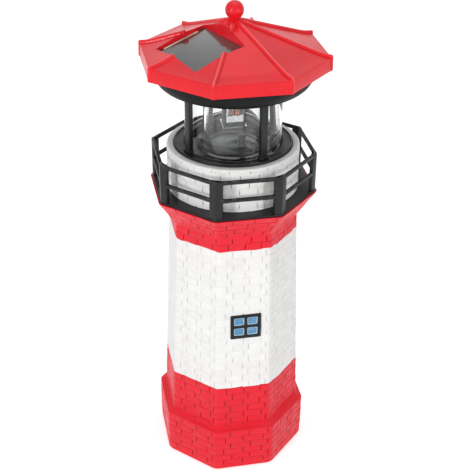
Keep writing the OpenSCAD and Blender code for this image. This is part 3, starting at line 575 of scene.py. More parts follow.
def drum_walls(walls):
    """The drum as one ring of lines carried over its outline: up the brick side, over the round
    rim, down the mouth's step and the bore."""
    wide = walls.joint_wide / MM
    floor = 0.4 * wide
    lines = wall_lines(DRUM_BRICKS, (0.25, 0.75), ((0, 0), (0.5, 0)), wide, floor)
    cuts = np.arange(231.05, 259, 5.45)
    rows = course_rows(DRUM_LOW + 6.2, cuts, DRUM_TOP - 1.3, wide, floor, 0)
    bend = np.radians(np.linspace(0, 90, 5))
    rim = [(DRUM_R - 1.2 + 1.2 * np.cos(a), DRUM_TOP - 1.2 + 1.2 * np.sin(a)) for a in bend]
    inner = [(DRUM_R - 2, DRUM_TOP), (MOUTH_R, DRUM_TOP), (MOUTH_R, MOUTH_STEP)]
    inner += [(DRUM_BORE, MOUTH_STEP), (DRUM_BORE, DRUM_LOW)]
    foot = [(43.6, DRUM_LOW), (43.6, DRUM_LOW + 6), (DRUM_R, DRUM_LOW + 6)]
    above = (0, len(cuts), 0, 0, 0)
    rings = [(r, z, above) for r, z in foot] + [(DRUM_R, row[0], row) for row in rows]
    rings += [(r, z, above) for r, z in [*rim, *soften(inner, 0.7, closed=False)[1:]]]
    shift, out, joint, tone = relief(lines, [r[2] for r in rings], walls, walls.seed + 1, 0.1)
    brick = (np.arange(len(rings)) >= len(foot)) & (np.arange(len(rings)) < len(foot) + len(rows))
    r, z = (np.array([ring[i] for ring in rings], float)[:, None] for i in (0, 1))
    on_rim = ~brick[:, None] & (z >= DRUM_TOP - 1.3) & (r > 45)
    shift = np.where(brick[:, None] | on_rim, shift, lines["shift"])
    keep = np.where(brick[:, None], 1.0, np.where(on_rim, 0.5, 0.0))
    r = r + out * keep
    around = (lines["unit"] + lines["share"]) * 2 * np.pi / DRUM_BRICKS
    turn = np.radians(DRUM_START) + around + shift / DRUM_R
    shape = Shape()
    xyz = np.stack([r * np.sin(turn), -r * np.cos(turn), np.broadcast_to(z, r.shape)], -1)
    shape.grid(xyz, round_rows=True, joint=joint * keep, tone=tone)
    return shape.mesh("drum", 38)


# ------------------------------------------------------------------ finishes


class Value:
    """A shader node's output. Sums and products with it add math nodes."""

    def __init__(self, nodes, socket):
        self.nodes, self.socket = nodes, socket

    def __add__(self, other):
        return self.nodes.math("ADD", self, other)

    def __sub__(self, other):
        return self.nodes.math("SUBTRACT", self, other)

    def __rsub__(self, other):
        return self.nodes.math("SUBTRACT", other, self)

    def __mul__(self, other):
        return self.nodes.math("MULTIPLY", self, other)


def rgba(value):
    """A colour's four numbers, or a Value as it is."""
    return value if isinstance(value, Value) else (*tuple(value)[:3], 1.0)


class Nodes:
    """Adds shader nodes to a tree. An input is a number, a tuple or a Value."""

    def __init__(self, tree):
        self.tree = tree

    def add(self, kind, inputs=(), out=0, **settings):
        node = self.tree.nodes.new("ShaderNode" + kind)
        for name, value in settings.items():
            setattr(node, name, value)
        for name, value in dict(inputs).items():
            self.join(value, node.inputs[name])
        return Value(self, node.outputs[out])

    def join(self, value, socket):
        if isinstance(value, Value):
            self.tree.links.new(value.socket, socket)
        else:
            socket.default_value = value

    def math(self, operation, a, b=0.0):
        return self.add("Math", {0: a, 1: b}, operation=operation)

    def noise(self, vector, scale, detail=3.0, rough=0.5):
        inputs = {"Vector": vector, "Scale": scale, "Detail": detail, "Roughness": rough}
        return self.add("TexNoise", inputs)

    def between(self, value, low, high, start=0.0, end=1.0):
        """start below low and end above high, with a smooth passage between them."""
        inputs = {"Value": value, "From Min": low, "From Max": high, "To Min": start, "To Max": end}
        return self.add("MapRange", inputs, interpolation_type="SMOOTHSTEP")

    def mix(self, share, a, b, blend="MIX"):
        inputs = {0: share, 6: rgba(a), 7: rgba(b)}
        return self.add("Mix", inputs, 2, data_type="RGBA", blend_type=blend, clamp_factor=True)

    def shade(self, tint, gain):
        """A tint times a gain."""
        grey = self.add("CombineColor", {0: gain, 1: gain, 2: gain})
        return self.mix(1.0, tint, grey, "MULTIPLY")

    def mark(self, name):
        return self.add("Attribute", out=2, attribute_name=name)

    def mapping(self, vector, **inputs):
        return self.add("Mapping", {"Vector": vector, **inputs})

    def split(self, vector):
        return [self.add("SeparateXYZ", {0: vector}, axis) for axis in range(3)]

    def group(self, name, inputs, out=0):
        return self.add("Group", inputs, out, node_tree=bpy.data.node_groups[name])

    def seen(self):
        """1 on camera, glossy and transmission rays, 0 on the rays that light the object."""
        kinds = ("Camera", "Glossy", "Transmission")
        rays = [self.add("LightPath", out=f"Is {kind} Ray") for kind in kinds]
        return self.math("MAXIMUM", self.math("MAXIMUM", *rays[:2]), rays[2])


SOCKETS = {"vector": "NodeSocketVector", "color": "NodeSocketColor"}


def effect(name, inputs, outputs):
    """Starts a shader node group and returns its maker, its inputs by name and its outputs."""
    tree = bpy.data.node_groups.new(name, "ShaderNodeTree")
    for way, sockets in (("INPUT", inputs), ("OUTPUT", outputs)):
        for key, kind in sockets.items():
            of_kind = SOCKETS.get(kind, "NodeSocketFloat")
            socket = tree.interface.new_socket(key, in_out=way, socket_type=of_kind)
            if isinstance(kind, float):
                socket.default_value = kind
    n, entry = Nodes(tree), tree.nodes.new("NodeGroupInput")
    given = {key: Value(n, entry.outputs[key]) for key in inputs}
    return n, given, tree.nodes.new("NodeGroupOutput").inputs


def make_effects():
    """The shared effects: moulded grain, rubbed edges, specks of dust and uneven tone."""
    n, given, leave = effect(
        "moulded grain",
        {"Vector": "vector", "Scale": 900.0, "Depth": 1.0},
        {"Height": "value", "Unevenness": "value"},
    )
    fine = n.noise(given["Vector"], given["Scale"], 4.0, 0.6)
    broad = n.noise(given["Vector"], given["Scale"] * 0.06, 3.0, 0.55)
    n.join((fine * 0.4 + broad * 1.6) * given["Depth"], leave["Height"])
    n.join(n.between(broad, 0.3, 0.7, -1.0, 1.0), leave["Unevenness"])

    n, given, leave = effect(
        "edge wear and highlight",
        {"Vector": "vector", "Edge": 0.0, "Amount": 0.5, "Scale": 260.0},
        {"Mask": "value"},
    )
    reach = given["Edge"] * 0.45 + n.noise(given["Vector"], given["Scale"], 4.0, 0.65)
    limit = 1.0 - given["Amount"]
    n.join(n.between(reach, limit, limit + 0.18), leave["Mask"])

    n, given, leave = effect(
        "specks", {"Vector": "vector", "Scale": 500.0, "Amount": 0.1}, {"Mask": "value"}
    )
    inputs = {"Vector": given["Vector"], "Scale": given["Scale"]}
    cells = n.add("TexVoronoi", inputs, "Distance")
    where = n.noise(given["Vector"], given["Scale"] * 0.21, 2.0)
    near = n.between(cells, given["Amount"] * 0.5, given["Amount"], 1.0, 0.0)
    n.join(near * n.between(where, 0.56, 0.62), leave["Mask"])

    n, given, leave = effect(
        "uneven tone",
        {"Vector": "vector", "Color": "color", "Spread": 0.1, "Scale": 60.0},
        {"Color": "color"},
    )
    patch = n.noise(given["Vector"], given["Scale"], 4.0, 0.55)
    gain = n.between(patch, 0.3, 0.7, -0.5, 0.5) * given["Spread"] + 1.0
    n.join(n.shade(given["Color"], gain), leave["Color"])


class Finish(Nodes):
    """A material with one Principled surface, its plain values set on its sockets. Setting an
    item joins a value to the socket of that name."""

    def __init__(self, name, **plain):
        self.made = bpy.data.materials.new(name)
        self.made.use_nodes = True
        super().__init__(self.made.node_tree)
        for socket, value in plain.items():
            self[socket.replace("_", " ")] = value
        self.place = self.add("TexCoord", out=3)

    def __setitem__(self, socket, value):
        self.join(value, self.tree.nodes["Principled BSDF"].inputs[socket])

    def tone(self, tint, spread, scale):
        """A tint that is uneven by a spread, in clouds of a scale."""
        inputs = {"Vector": self.place, "Color": rgba(tint), "Spread": spread, "Scale": scale}
        return self.group("uneven tone", inputs)

    def specks(self, scale, amount):
        return self.group("specks", {"Vector": self.place, "Scale": scale, "Amount": amount})

    def bump(self, height, distance):
        """Feeds a height in millimetres into the surface's normal."""
        inputs = {"Height": height, "Distance": distance * MM, "Strength": 1.0}
        self["Normal"] = self.add("Bump", inputs)

    def grain(self, scale, depth, rough, swing):
        """Gives the surface a moulded grain and returns a roughness that swings with it."""
        inputs = {"Vector": self.place, "Scale": scale, "Depth": 1.0}
        self.bump(self.group("moulded grain", inputs), depth)
        return self.group("moulded grain", inputs, 1) * swing + rough

    def from_corner(self, x, y, past=0.0):
        """The turn about the axis from the nearest of eight corners, moved on by past degrees."""
        turn = self.math("ARCTAN2", x, y * -1.0) + np.radians(22.5 + 720 - past)
        return self.math("PINGPONG", turn, np.radians(22.5))


def moulded(name, tint, rough, spread, grain, depth, worn=None, **plain):
    """Moulded or painted plastic: an uneven tone, a fine grain, and where an edge colour is given,
    edges lightened to that colour, partly wear and partly a painted highlight."""
    f = Finish(name, **plain)
    tone = f.tone(tint, spread, 70.0)
    roughness = f.grain(grain, depth, rough, rough * 0.18)
    if worn is not None:
        # Lighter edges: partly wear and partly a painted highlight along the mouldings' edges.
        inputs = {"Vector": f.place, "Edge": f.mark("edge"), "Amount": 0.09, "Scale": 300.0}
        mask = f.group("edge wear and highlight", inputs)
        tone = f.mix(mask, tone, worn)
        roughness = roughness + mask * 0.12
    f["Base Color"], f["Roughness"] = tone, roughness
    return f.made


def brick_paint(name, walls, banded):
    """Painted brickwork. The joints get painted shade, darker in their grooves, and each brick has
    its own tone. On the tower the colour changes at two wavering edges that step with the bricks.
    On the drum a painted shadow of the gallery's posts, partly a rub of black paint, lies behind
    each post, with specks."""
    f = Finish(name, Specular_IOR_Level=0.35)
    x, y, z = f.split(f.place)
    joint = f.mark("joint")
    if banded:
        step = f.math("FLOOR", f.math("ARCTAN2", x, y * -1.0) * (24 / (2 * np.pi)))
        pick = f.add("TexWhiteNoise", {"W": step}, noise_dimensions="1D")
        waver = f.noise(f.place, 90.0, 3.0, 0.6)
        height = z + ((pick - 0.5) * (1.3 * MM) + (waver - 0.5) * (2.2 * MM))
        low, high, half = walls.white_low, walls.white_high, 0.15 * MM
        band = f.between(height, low - half, low + half)
        band = band * f.between(height, high - half, high + half, 1, 0)
        tint = f.mix(band, walls.red, walls.white)
        joint_shade_tint = f.mix(band, (0.10, 0.004, 0.007), (0.34, 0.33, 0.31))
        strong = f.math("MINIMUM", joint * 2.2, 1.0)
        cover = strong + band * (joint * 0.6 - strong)
    else:
        tint, joint_shade_tint, cover = walls.drum_white, (0.10, 0.095, 0.09), joint
    tint = f.tone(f.shade(tint, (f.mark("tone") - 0.5) * 0.04 + 1.0), 0.05, 55.0)
    # Painted shade in the joints' grooves: the paint darkens to a dark red in the red bands, a grey
    # in the white band and a near black on the drum.
    tint = f.mix(cover, tint, joint_shade_tint)
    if not banded:
        # Painted shadow of each gallery post on the drum, partly a rub of black paint, strongest
        # just above the deck.
        near = f.between(f.from_corner(x, y, 1.5), np.radians(1.0), np.radians(5.5), 1.0, 0.0)
        patch = f.between(f.noise(f.place, 180.0, 4.0, 0.6), 0.35, 0.6)
        low = f.math("POWER", f.between(z, DECK_TOP * MM, (RAIL_TOP + 2) * MM, 1.0, 0.0), 0.35)
        tint = f.mix(near * patch * low * 0.16, tint, (0.10, 0.09, 0.085))
        tint = f.mix(f.specks(420.0, 0.16) * 0.6, tint, (0.12, 0.11, 0.10))
    f["Base Color"] = tint
    f["Roughness"] = f.grain(1100.0, 0.05, 0.44, 0.06) + joint * 0.25
    return f.made


def roof_plastic(name, tint):
    """Glossy red plastic with a soft clear coat, faint clouds, a painted highlight on the ribs'
    crests and painted shade along their feet, pale scuffs on the upright edge and a few specks of
    dust."""
    f = Finish(name, Coat_Weight=0.2, Coat_Roughness=0.08, Specular_IOR_Level=0.18)
    x, y, z = f.split(f.place)
    fascia = f.between(z, (EAVE - 0.5) * MM, (EAVE + 0.5) * MM, 1.0, 0.0)
    scratch = f.mapping(f.place, Scale=(1.0, 1.0, 3.2), Rotation=(0.4, 0.2, 0))
    scuff = f.between(f.noise(scratch, 330.0, 6.0, 0.75), 0.62, 0.74)
    scuff = scuff * f.between(f.noise(f.place, 42.0, 2.0), 0.56, 0.66) * fascia
    pale = f.math("MAXIMUM", scuff * 0.45, f.specks(360.0, 0.12) * 0.35)
    reach = f.math("SQRT", x * x + y * y)
    from_hip = f.from_corner(x, y) * reach
    above = z - PEAK * MM + reach * ROOF_SLOPE
    upper = (1.0 - fascia) * f.between(above, -MM, -0.3 * MM)
    upper = upper * f.between(reach, 7.0 * MM, 9.0 * MM)
    # Painted highlight along each rib's crest.
    crest_highlight = f.between(from_hip, 0.2 * MM, 0.9 * MM, 1.0, 0.0) * upper
    # Painted shade along each rib's foot.
    foot = f.math("ABSOLUTE", from_hip - 2.0 * MM)
    foot = f.between(foot, 0.1 * MM, 0.5 * MM, 1.0, 0.0) * upper
    tone = f.mix(foot * 0.4, f.tone(tint, 0.10, 45.0), (0.30, 0.002, 0.006))
    tone = f.mix(crest_highlight * 0.55, tone, (0.95, 0.16, 0.17))
    f["Base Color"] = f.mix(pale, tone, (0.86, 0.36, 0.35))
    f["Roughness"] = f.grain(500.0, 0.03, 0.33, 0.05) + pale * 0.3
    return f.made


def clear_plastic(name, tint, bend):
    """Clear moulded plastic with painted shade where it is seen edge on, faint clouds in its polish
    and a trace of flow lines. bend is its index of refraction."""
    f = Finish(
        name, Transmission_Weight=1.0, IOR=bend, Metallic=0.0, Coat_Weight=0.5, Coat_Roughness=0.02
    )
    # Painted shade: the colour turns grey where the surface is seen edge on.
    edge_on_shade = f.between(f.add("LayerWeight", {"Blend": 0.5}, "Facing"), 0.55, 1.0)
    f["Base Color"] = f.mix(edge_on_shade, tint, (0.30, 0.31, 0.32))
    f["Roughness"] = f.between(f.noise(f.place, 30.0), 0.3, 0.8, 0.0, 0.03)
    f.bump(f.noise(f.mapping(f.place, Scale=(1.0, 1.0, 0.15)), 60.0, 2.0), 0.004)
    return f.made


def panel_resin(name):
    """Dark solar cells under clear resin: a faint grid of fine lines, a green and violet sheen
    that drifts over them, and specks in the resin."""
    f = Finish(name, Coat_Weight=1.0, Coat_Roughness=0.06, Coat_IOR=1.5)
    across = f.split(f.mapping(f.place, Rotation=(0, 0, np.radians(90 - PANEL_TURN))))[1]
    fine = f.between(f.math("PINGPONG", across, 1.3 * MM), 0.02 * MM, 0.09 * MM, 1.0, 0.0)
    hue = f.between(f.noise(f.place, 38.0, 3.0), 0.35, 0.65)
    base = f.mix(hue, (0.022, 0.029, 0.023), (0.027, 0.025, 0.028))
    base = f.mix(fine * 0.25, base, (0.10, 0.10, 0.10))
    f["Base Color"] = f.mix(f.specks(330.0, 0.14), base, (0.75, 0.75, 0.7))
    f["Roughness"] = f.between(f.noise(f.place, 160.0), 0.3, 0.7, 0.22, 0.34)
    f.bump(f.noise(f.place, 60.0, 2.0), 0.03)
    return f.made


def metal(name, tint, rough):
    """Bare metal with a fine grain and clouded roughness."""
    f = Finish(name, Metallic=1.0)
    f["Base Color"] = f.tone(tint, 0.2, 90.0)
    lines = f.noise(f.place, 700.0, 3.0, 0.6)
    f["Roughness"] = f.between(lines, 0.25, 0.75, rough * 0.7, rough * 1.4)
    f.bump(lines, 0.01)
    return f.made


def window_paint(name, tint, edge_tint):
    """Hand-painted panes: sky blue, lighter and greyer towards their edges."""
    f = Finish(name, Coat_Weight=0.3, Coat_Roughness=0.2)
    stroke = f.noise(f.mapping(f.place, Scale=(1, 1, 2.5)), 240.0, 4.0, 0.6)
    rim = f.between(f.mark("edge") + stroke * 0.5, 0.45, 1.0)
    streak = f.between(stroke, 0.45, 0.75) * 0.35
    f["Base Color"] = f.mix(f.math("MAXIMUM", rim, streak), tint, edge_tint)
    f["Roughness"] = f.between(stroke, 0.3, 0.7, 0.3, 0.45)
    f.bump(stroke, 0.05)
    return f.made


def make_finishes(scene):
    """Every finish by name. The rows are moulded finishes: name, tint, roughness, spread of the
    tone, scale and depth of the grain, then other values."""
    walls, gallery = scene.lighthouse_walls, scene.lighthouse_gallery
    lamp, roof = scene.lighthouse_lamp, scene.lighthouse_roof
    worn = {"worn": gallery.worn, "Specular_IOR_Level": 0.3}
    border_tint, housing_tint = (0.007, 0.011, 0.014), (0.005, 0.0055, 0.006)
    dull = {part: {"Specular_IOR_Level": part} for part in (0.15, 0.22, 0.25, 0.3)}
    rows = {
        "gallery": ("gallery black", gallery.black, 0.40, 0.35, 700.0, 0.05, worn),
        "lamp black": ("lamp black", lamp.black, 0.36, 0.25, 900.0, 0.02, dull[0.3]),
        "lamp floor": ("lamp floor black", lamp.black, 0.14, 0.2, 600.0, 0.008, dull[0.22]),
        "housing": ("housing black", housing_tint, 0.5, 0.25, 1000.0, 0.03, dull[0.15]),
        "cover": ("cover black", (0.035, 0.035, 0.038), 0.55, 0.25, 800.0, 0.05, {}),
        "window border": ("window black", border_tint, 0.5, 0.5, 500.0, 0.08, dull[0.25]),
        "panel strip": ("panel strip", (0.52, 0.49, 0.36), 0.4, 0.5, 400.0, 0.03, {}),
        "chip": ("amber chip", (0.45, 0.15, 0.07), 0.2, 0.6, 900.0, 0.02, {"Coat_Weight": 0.6}),
        "gear": ("gear cream", (0.80, 0.74, 0.58), 0.42, 0.1, 900.0, 0.02, {}),
        "knob": ("knob white", (0.80, 0.80, 0.78), 0.42, 0.1, 900.0, 0.02, {}),
        "board": ("board green", (0.02, 0.16, 0.07), 0.3, 0.4, 300.0, 0.02, {}),
        "components": ("component black", (0.03, 0.03, 0.034), 0.4, 0.3, 900.0, 0.02, {}),
        "sleeve": ("cell sleeve", (0.06, 0.30, 0.16), 0.28, 0.15, 700.0, 0.01, {"Metallic": 0.6}),
    }
    return {
        **{key: moulded(*row[:-1], **row[-1]) for key, row in rows.items()},
        "tower": brick_paint("tower paint", walls, True),
        "drum": brick_paint("drum paint", walls, False),
        "window pane": window_paint("window blue", (0.060, 0.24, 0.46), (0.50, 0.70, 0.80)),
        "roof": roof_plastic("roof red", roof.red),
        "clear": clear_plastic("clear plastic", lamp.clear, 1.12),
        "panel": panel_resin("panel resin"),
        "steel": metal("plated steel", (0.62, 0.63, 0.65), 0.3),
        "chrome": metal("bright plating", (0.86, 0.86, 0.88), 0.09),
        "brass": metal("turned brass", (0.74, 0.55, 0.26), 0.28),
    }


# ------------------------------------------------------------------ operators

FINISHES = {}


class Maker(bpy.types.Operator):
    """Base of the operators, with the ways to put a piece into the scene"""

    bl_options = {"REGISTER", "UNDO"}

    def finish(self, name):
        if name not in FINISHES:
            self.report({"ERROR"}, f"finish {name} isn't made yet")
            raise RuntimeError(f"finish {name} isn't made yet")
        return FINISHES[name]

    def piece(self, name, form, body, nodes, finishes, slot):
        """Makes the object of a shape or mesh, with its finishes, the body that it rides on and
        the nodes that it stands for. Several finishes or nodes are split by commas."""
        mesh = form.mesh(name) if isinstance(form, Shape) else form
        made = linked(name, mesh)
        for finish in finishes.split(","):
            mesh.materials.append(self.finish(finish))
        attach(made, body)
        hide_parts(*nodes.split(","))
        return made

    def dressed(self, name, node, body, finish, slot, edge=0.0):
        """A node's own solid with its loose triangles joined and its flat faces made whole,
        smooth where it curves and with rounded edges where edge is above 0."""
        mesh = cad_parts[node].data.copy()
        mesh.name = name
        mesh.materials.clear()
        form = bmesh.new()
        form.from_mesh(mesh)
        bmesh.ops.remove_doubles(form, verts=form.verts, dist=2e-6)
        bmesh.ops.dissolve_limit(
            form, angle_limit=np.radians(0.8), verts=form.verts, edges=form.edges
        )
        form.to_mesh(mesh)
        form.free()
        mesh.polygons.foreach_set("material_index", [0] * len(mesh.polygons))
        smooth(mesh)
        made = self.piece(name, mesh, body, node, finish, slot)
        if edge:
            bevelled(made, edge, 40)


class LIGHTHOUSE_OT_finishes(Maker):
    """Make the shared effects and every finish"""

    bl_idname = "lighthouse.finishes"
    bl_label = "Finishes"

    def execute(self, context):
        make_effects()
        FINISHES.update(make_finishes(context.scene))
        return {"FINISHED"}


class LIGHTHOUSE_OT_tower(Maker):
    """Make the tower's painted brick walls"""

    bl_idname = "lighthouse.tower"
    bl_label = "Tower walls"

    def execute(self, context):
        mesh = tower_walls(context.scene.lighthouse_walls)
        nodes = "tower_plinth,tower_shell,tower_flare"
        self.piece("tower_walls", mesh, "tower", nodes, "tower", "painted_tower")
        return {"FINISHED"}


class LIGHTHOUSE_OT_window(Maker):
    """Make the window's border and its four panes"""

    bl_idname = "lighthouse.window"
    bl_label = "Window"

    def execute(self, context):
        lean = np.arctan((SHAFT_FOOT_CORNER - NECK_CORNER) * FLAT / (NECK - SHAFT_FOOT))
        wall, c, s = shaft_corner(WINDOW_Z) * FLAT, np.cos(lean), np.sin(lean)

        def on_wall(xyz):
            """Local x along the wall, y up it and z out of it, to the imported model's frame."""
            x, up, out = xyz[..., 0], xyz[..., 1], xyz[..., 2]
            y, z = -wall - out * c + up * s, WINDOW_Z + up * c + out * s
            return np.stack([x + WINDOW_X, y, z], -1)

        shape = Shape()
        prism(shape, box_plan(WINDOW_W, WINDOW_H, 0.9), -1.4, 0.9, 0.4, on_wall)
        border = linked("border", shape.mesh("border"))
        middles = [(x, z) for x in (-PANE_X, PANE_X) for z in (-PANE_Z, PANE_Z)]
        holes = [box_plan(7.9, 6.7, 1.0, middle) for middle in middles]
        cut(border, *[block("hole", plan, -5, 5, on_wall) for plan in holes])
        mesh = border.data
        bpy.data.objects.remove(border)
        smooth(mesh)
        made = self.piece(
            "window_border", mesh, "tower", "window_frame", "window border", "window_black"
        )
        bevelled(made, 0.3, 50)

        shape = Shape()
        rise = ((0, -0.6), (0, 0.12), (0.5, 0.2), (1.1, 0.2), (1.9, 0.26))
        for middle in middles:
            xyz = np.stack(
                [level(box_plan(8.4 - 2 * d, 7.2 - 2 * d, 0.8, middle), out) for d, out in rise]
            )
            edge = np.broadcast_to(np.array([1, 1, 0.9, 0.35, 0])[:, None], xyz.shape[:2])
            ids = shape.grid(on_wall(xyz), edge=edge)
            shape.pole(ids[0][::-1], on_wall(np.array([*middle, -0.6])))
            shape.pole(ids[-1], on_wall(np.array([*middle, 0.28])))
        self.piece("window_glass", shape, "tower", "window_panes", "window pane", "window_blue")
        return {"FINISHED"}


class LIGHTHOUSE_OT_foot(Maker):
    """Make the cover under the tower and its screws"""

    bl_idname = "lighthouse.foot"
    bl_label = "Base cover"

    def execute(self, context):
        self.dressed("foot_cover", "base_cover", "tower", "cover", "black_plastic", 0.3)
        shape = screws(*FOOT_SCREWS, 1.7)
        self.piece("foot_screws", shape, "tower", "base_screws", "steel", "steel")
        return {"FINISHED"}


class LIGHTHOUSE_OT_drum(Maker):
    """Make the white brick drum that carries the lamp"""

    bl_idname = "lighthouse.drum"
    bl_label = "Drum"

    def execute(self, context):
        mesh = drum_walls(context.scene.lighthouse_walls)
        self.piece("drum", mesh, "tower", "lantern_drum", "drum", "white_plastic")
        return {"FINISHED"}


class LIGHTHOUSE_OT_gallery(Maker):
    """Make the deck, the corner posts and the rails"""

    bl_idname = "lighthouse.gallery"
    bl_label = "Gallery"

    def execute(self, context):
        gallery = context.scene.lighthouse_gallery
        edge, high = gallery.edge / MM, gallery.rail_high / MM
        looks = "gallery", "black_plastic"

        shape, soft = Shape(), SOFT_CORNER - 1
        ends = corner_lines(soft)
        lines = np.array([*ends[:3], (0.2, 0), (0.4, 0), (0.6, 0), (0.8, 0), *ends[3:]])
        unit, (share, shift) = np.repeat(np.arange(8), len(lines)), np.tile(lines, (8, 1)).T
        rings = [(59.3, DECK_LOW, 0), (DECK_CORNER, DECK_TOP - 1.4, 1)]
        rings += [(DECK_CORNER, DECK_TOP - 0.5, 1), (DECK_CORNER - 0.15, DECK_TOP - 0.15, 1)]
        rings += [(DECK_CORNER - 0.5, DECK_TOP, 1), (DECK_CORNER - 2, DECK_TOP, 0)]
        rows = [
            level(side_points(np.full(share.shape, r), unit, share, shift, 0 * share, soft), z)
            for r, z, _ in rings
        ]
        mouth = side_points(np.full(share.shape, 47.8), unit, share, shift, 0 * share, soft)
        mouth = mouth / np.linalg.norm(mouth, axis=1, keepdims=True) * 47.8
        rows += [level(mouth, z) for z in (DECK_TOP, DECK_LOW)]
        # The deck's rim rings take the lighter edge colour: partly wear and partly a painted
        # highlight.
        rim = 0.6 * np.array([lighter_edge for _, _, lighter_edge in rings] + [0, 0])
        edges = np.broadcast_to(rim[:, None], (len(rows), len(share)))
        shape.grid(np.stack(rows), round_rows=True, edge=edges)
        self.piece("gallery_deck", shape, "tower", "balcony_deck", *looks)

        wing = gallery.post_wing / MM
        half = wing * FLAT
        outer, fall = RAIL_CORNER, half * np.tan(EIGHTH / 2)
        inner = outer - RAIL_DEEP / FLAT
        plan = [(-half, fall - outer), (0, -outer), (half, fall - outer)]
        plan += [(half, fall - inner), (0, -inner), (-half, fall - inner)]
        plan, shape = soften(plan, 0.45, 2), Shape()
        for k in range(8):
            prism(shape, plan, DECK_TOP - 0.3, RAIL_TOP, 0.4, turned_by(45 * k - 22.5))
        self.piece("gallery_posts", shape, "tower", "balcony_posts", *looks)

        side = 2 * RAIL_CORNER * HALF_SIDE - 2 * wing
        middle = 0, RAIL_DEEP / 2 - RAIL_CORNER * FLAT
        plan = box_plan(side + 0.6, RAIL_DEEP, 0.2, middle)
        heights = {"top": RAIL_TOP - high / 2, "middle": DECK_TOP + gallery.middle_rail / MM}
        for name, z in heights.items():
            shape = Shape()
            for k in range(8):
                prism(shape, plan, z - high / 2, z + high / 2, edge * 1.3, turned_by(45 * k))
            self.piece(f"gallery_{name}_rails", shape, "tower", f"{name}_rails", *looks)
        return {"FINISHED"}


class LIGHTHOUSE_OT_lamp_base(Maker):
    """Make the lamp's base with its flange, floor and stud, and the four cage posts"""

    bl_idname = "lighthouse.lamp_base"
    bl_label = "Lamp base"

    def execute(self, context):
        lamp = context.scene.lighthouse_lamp
        lens, inner = lamp.lens_radius / MM, (lamp.lens_radius - lamp.lens_wall) / MM
        top, floor, low, steps = FLANGE_TOP, LAMP_FLOOR, SKIRT_LOW, 128
        # From the middle of the underside out to the flange, in over the lens's groove, and
        # down to the floor with its ring and the tube's groove
        profile = [(0, floor - 2.4), (38.3, floor - 2.4), (38.3, low), (40.3, low), (40.3, 259.0)]
        profile += [(42.3, 259.0), (42.3, top + 0.7), (41.1, top + 0.7), (40.9, top)]
        profile += [(lens + 2.6, top), (lens + 2.4, top + 0.35), (lens + 1.2, top + 0.35)]
        profile += [(lens + 0.15, top), (lens + 0.15, top - 1.2), (inner - 0.15, top - 1.2)]
        profile += [(inner - 0.3, floor + 0.9), (30.6, floor), (26.0, floor), (25.8, floor + 0.35)]
        profile += [(25.2, floor + 0.35), (25.0, floor), (21.15, floor), (21.15, floor - 0.6)]
        profile += [(19.35, floor - 0.6), (19.35, floor), (0, floor)]
        outline, shape = soften(profile, 0.25, 2, closed=False), Shape()
        turned(shape, outline, steps)
        wall = outline[outline[:, 0] > 0]
        sunk = np.argmax((wall[:, 0] < inner) & (wall[:, 1] > floor - 0.7))
        glossy = np.repeat(np.arange(len(wall) - 1) >= sunk, steps).astype(int)
        shape.slots = [*glossy.tolist(), *[0] * steps, *[1] * steps]
        for out, inn in ((10.4, 9.9), (8.6, 8.0), (6.2, 5.8)):
            ring = [(inn, floor - 0.1), (out, floor - 0.1), (out, floor + 0.4), (inn, floor + 0.4)]
            turned(shape, soften(ring, 0.18, 2), 64, STUD, closed=True, slot=1)
        stud = [(0, -0.1), (3.4, -0.1), (3.4, 1.6), (2.0, 2.0), (2.0, 5.2)]
        stud += [(2.6, 5.6), (2.6, 7.6), (1.6, 8.0), (0, 8.0)]
        stud = soften([(r, floor + z) for r, z in stud], 0.3, 3, closed=False)
        turned(shape, stud, 40, STUD)
        looks = "lamp black,lamp floor", "black_plastic"
        self.piece("lamp_seat", shape, "head", "lamp_base", *looks)

        shape, deep = Shape(), 3.6
        middle = lens + 0.4 + deep / 2
        upright = box_plan(5.4, deep, 0.7, (0, -middle))
        foot = box_plan(7.0, deep + 0.6, 0.8, (0, -(middle + 0.3)))
        for turn in CAGE_TURNS:
            place = turned_by(turn)
            prism(shape, upright, top - 0.1, HOUSING_LOW, 0.1, place)
            prism(shape, foot, top - 0.1, top + 2.0, 0.4, place)
        self.piece("cage_uprights", shape, "head", "cage_posts", "lamp black", "black_plastic")
        return {"FINISHED"}


class LIGHTHOUSE_OT_lens(Maker):
    """Make the clear lens and the clear tube inside it"""

    bl_idname = "lighthouse.lens"
    bl_label = "Lens"

    def execute(self, context):
        lamp = context.scene.lighthouse_lamp
        for name, node, radius, wall in (
            ("lens", "lens_cylinder", lamp.lens_radius / MM, lamp.lens_wall / MM),
            ("light_tube", "inner_tube", lamp.tube_radius / MM, lamp.tube_wall / MM),
        ):
            low, high = (c[2] for c in low_high(node))
            inn, shape = radius - wall, Shape()
            line = soften([(inn, low), (radius, low), (radius, high), (inn, high)], 0.25, 2)
            turned(shape, line, 160, closed=True)
            self.piece(name, shape, "head", node, "clear", "clear_plastic")
        return {"FINISHED"}


class LIGHTHOUSE_OT_housing(Maker):
    """Make the bowl under the roof and its screws"""

    bl_idname = "lighthouse.housing"
    bl_label = "Housing"

    def execute(self, context):
        self.dressed("housing_bowl", "head_housing", "head", "housing", "black_plastic")
        shape = screws(*HOUSING_SCREWS, HOUSING_LOW + 1.6)
        self.piece("housing_screw_set", shape, "head", "housing_screws", "steel", "steel")
        return {"FINISHED"}


HIP_LINES = np.array([0, 0.43, 0.85, 1.22, 1.54, 1.74, 1.86, 2.3, 4.0, 7.5, 13.0])


def roof_height(r):
    """Height of the roof over the ring of that corner radius: straight from the peak, then a
    parabola that flattens over the strip along the eave."""
    u = np.maximum(0, r - (EAVE_CORNER - STRIP))
    return PEAK - ROOF_SLOPE * r + (ROOF_SLOPE - STRIP_SLOPE) * u * u / (2 * STRIP)


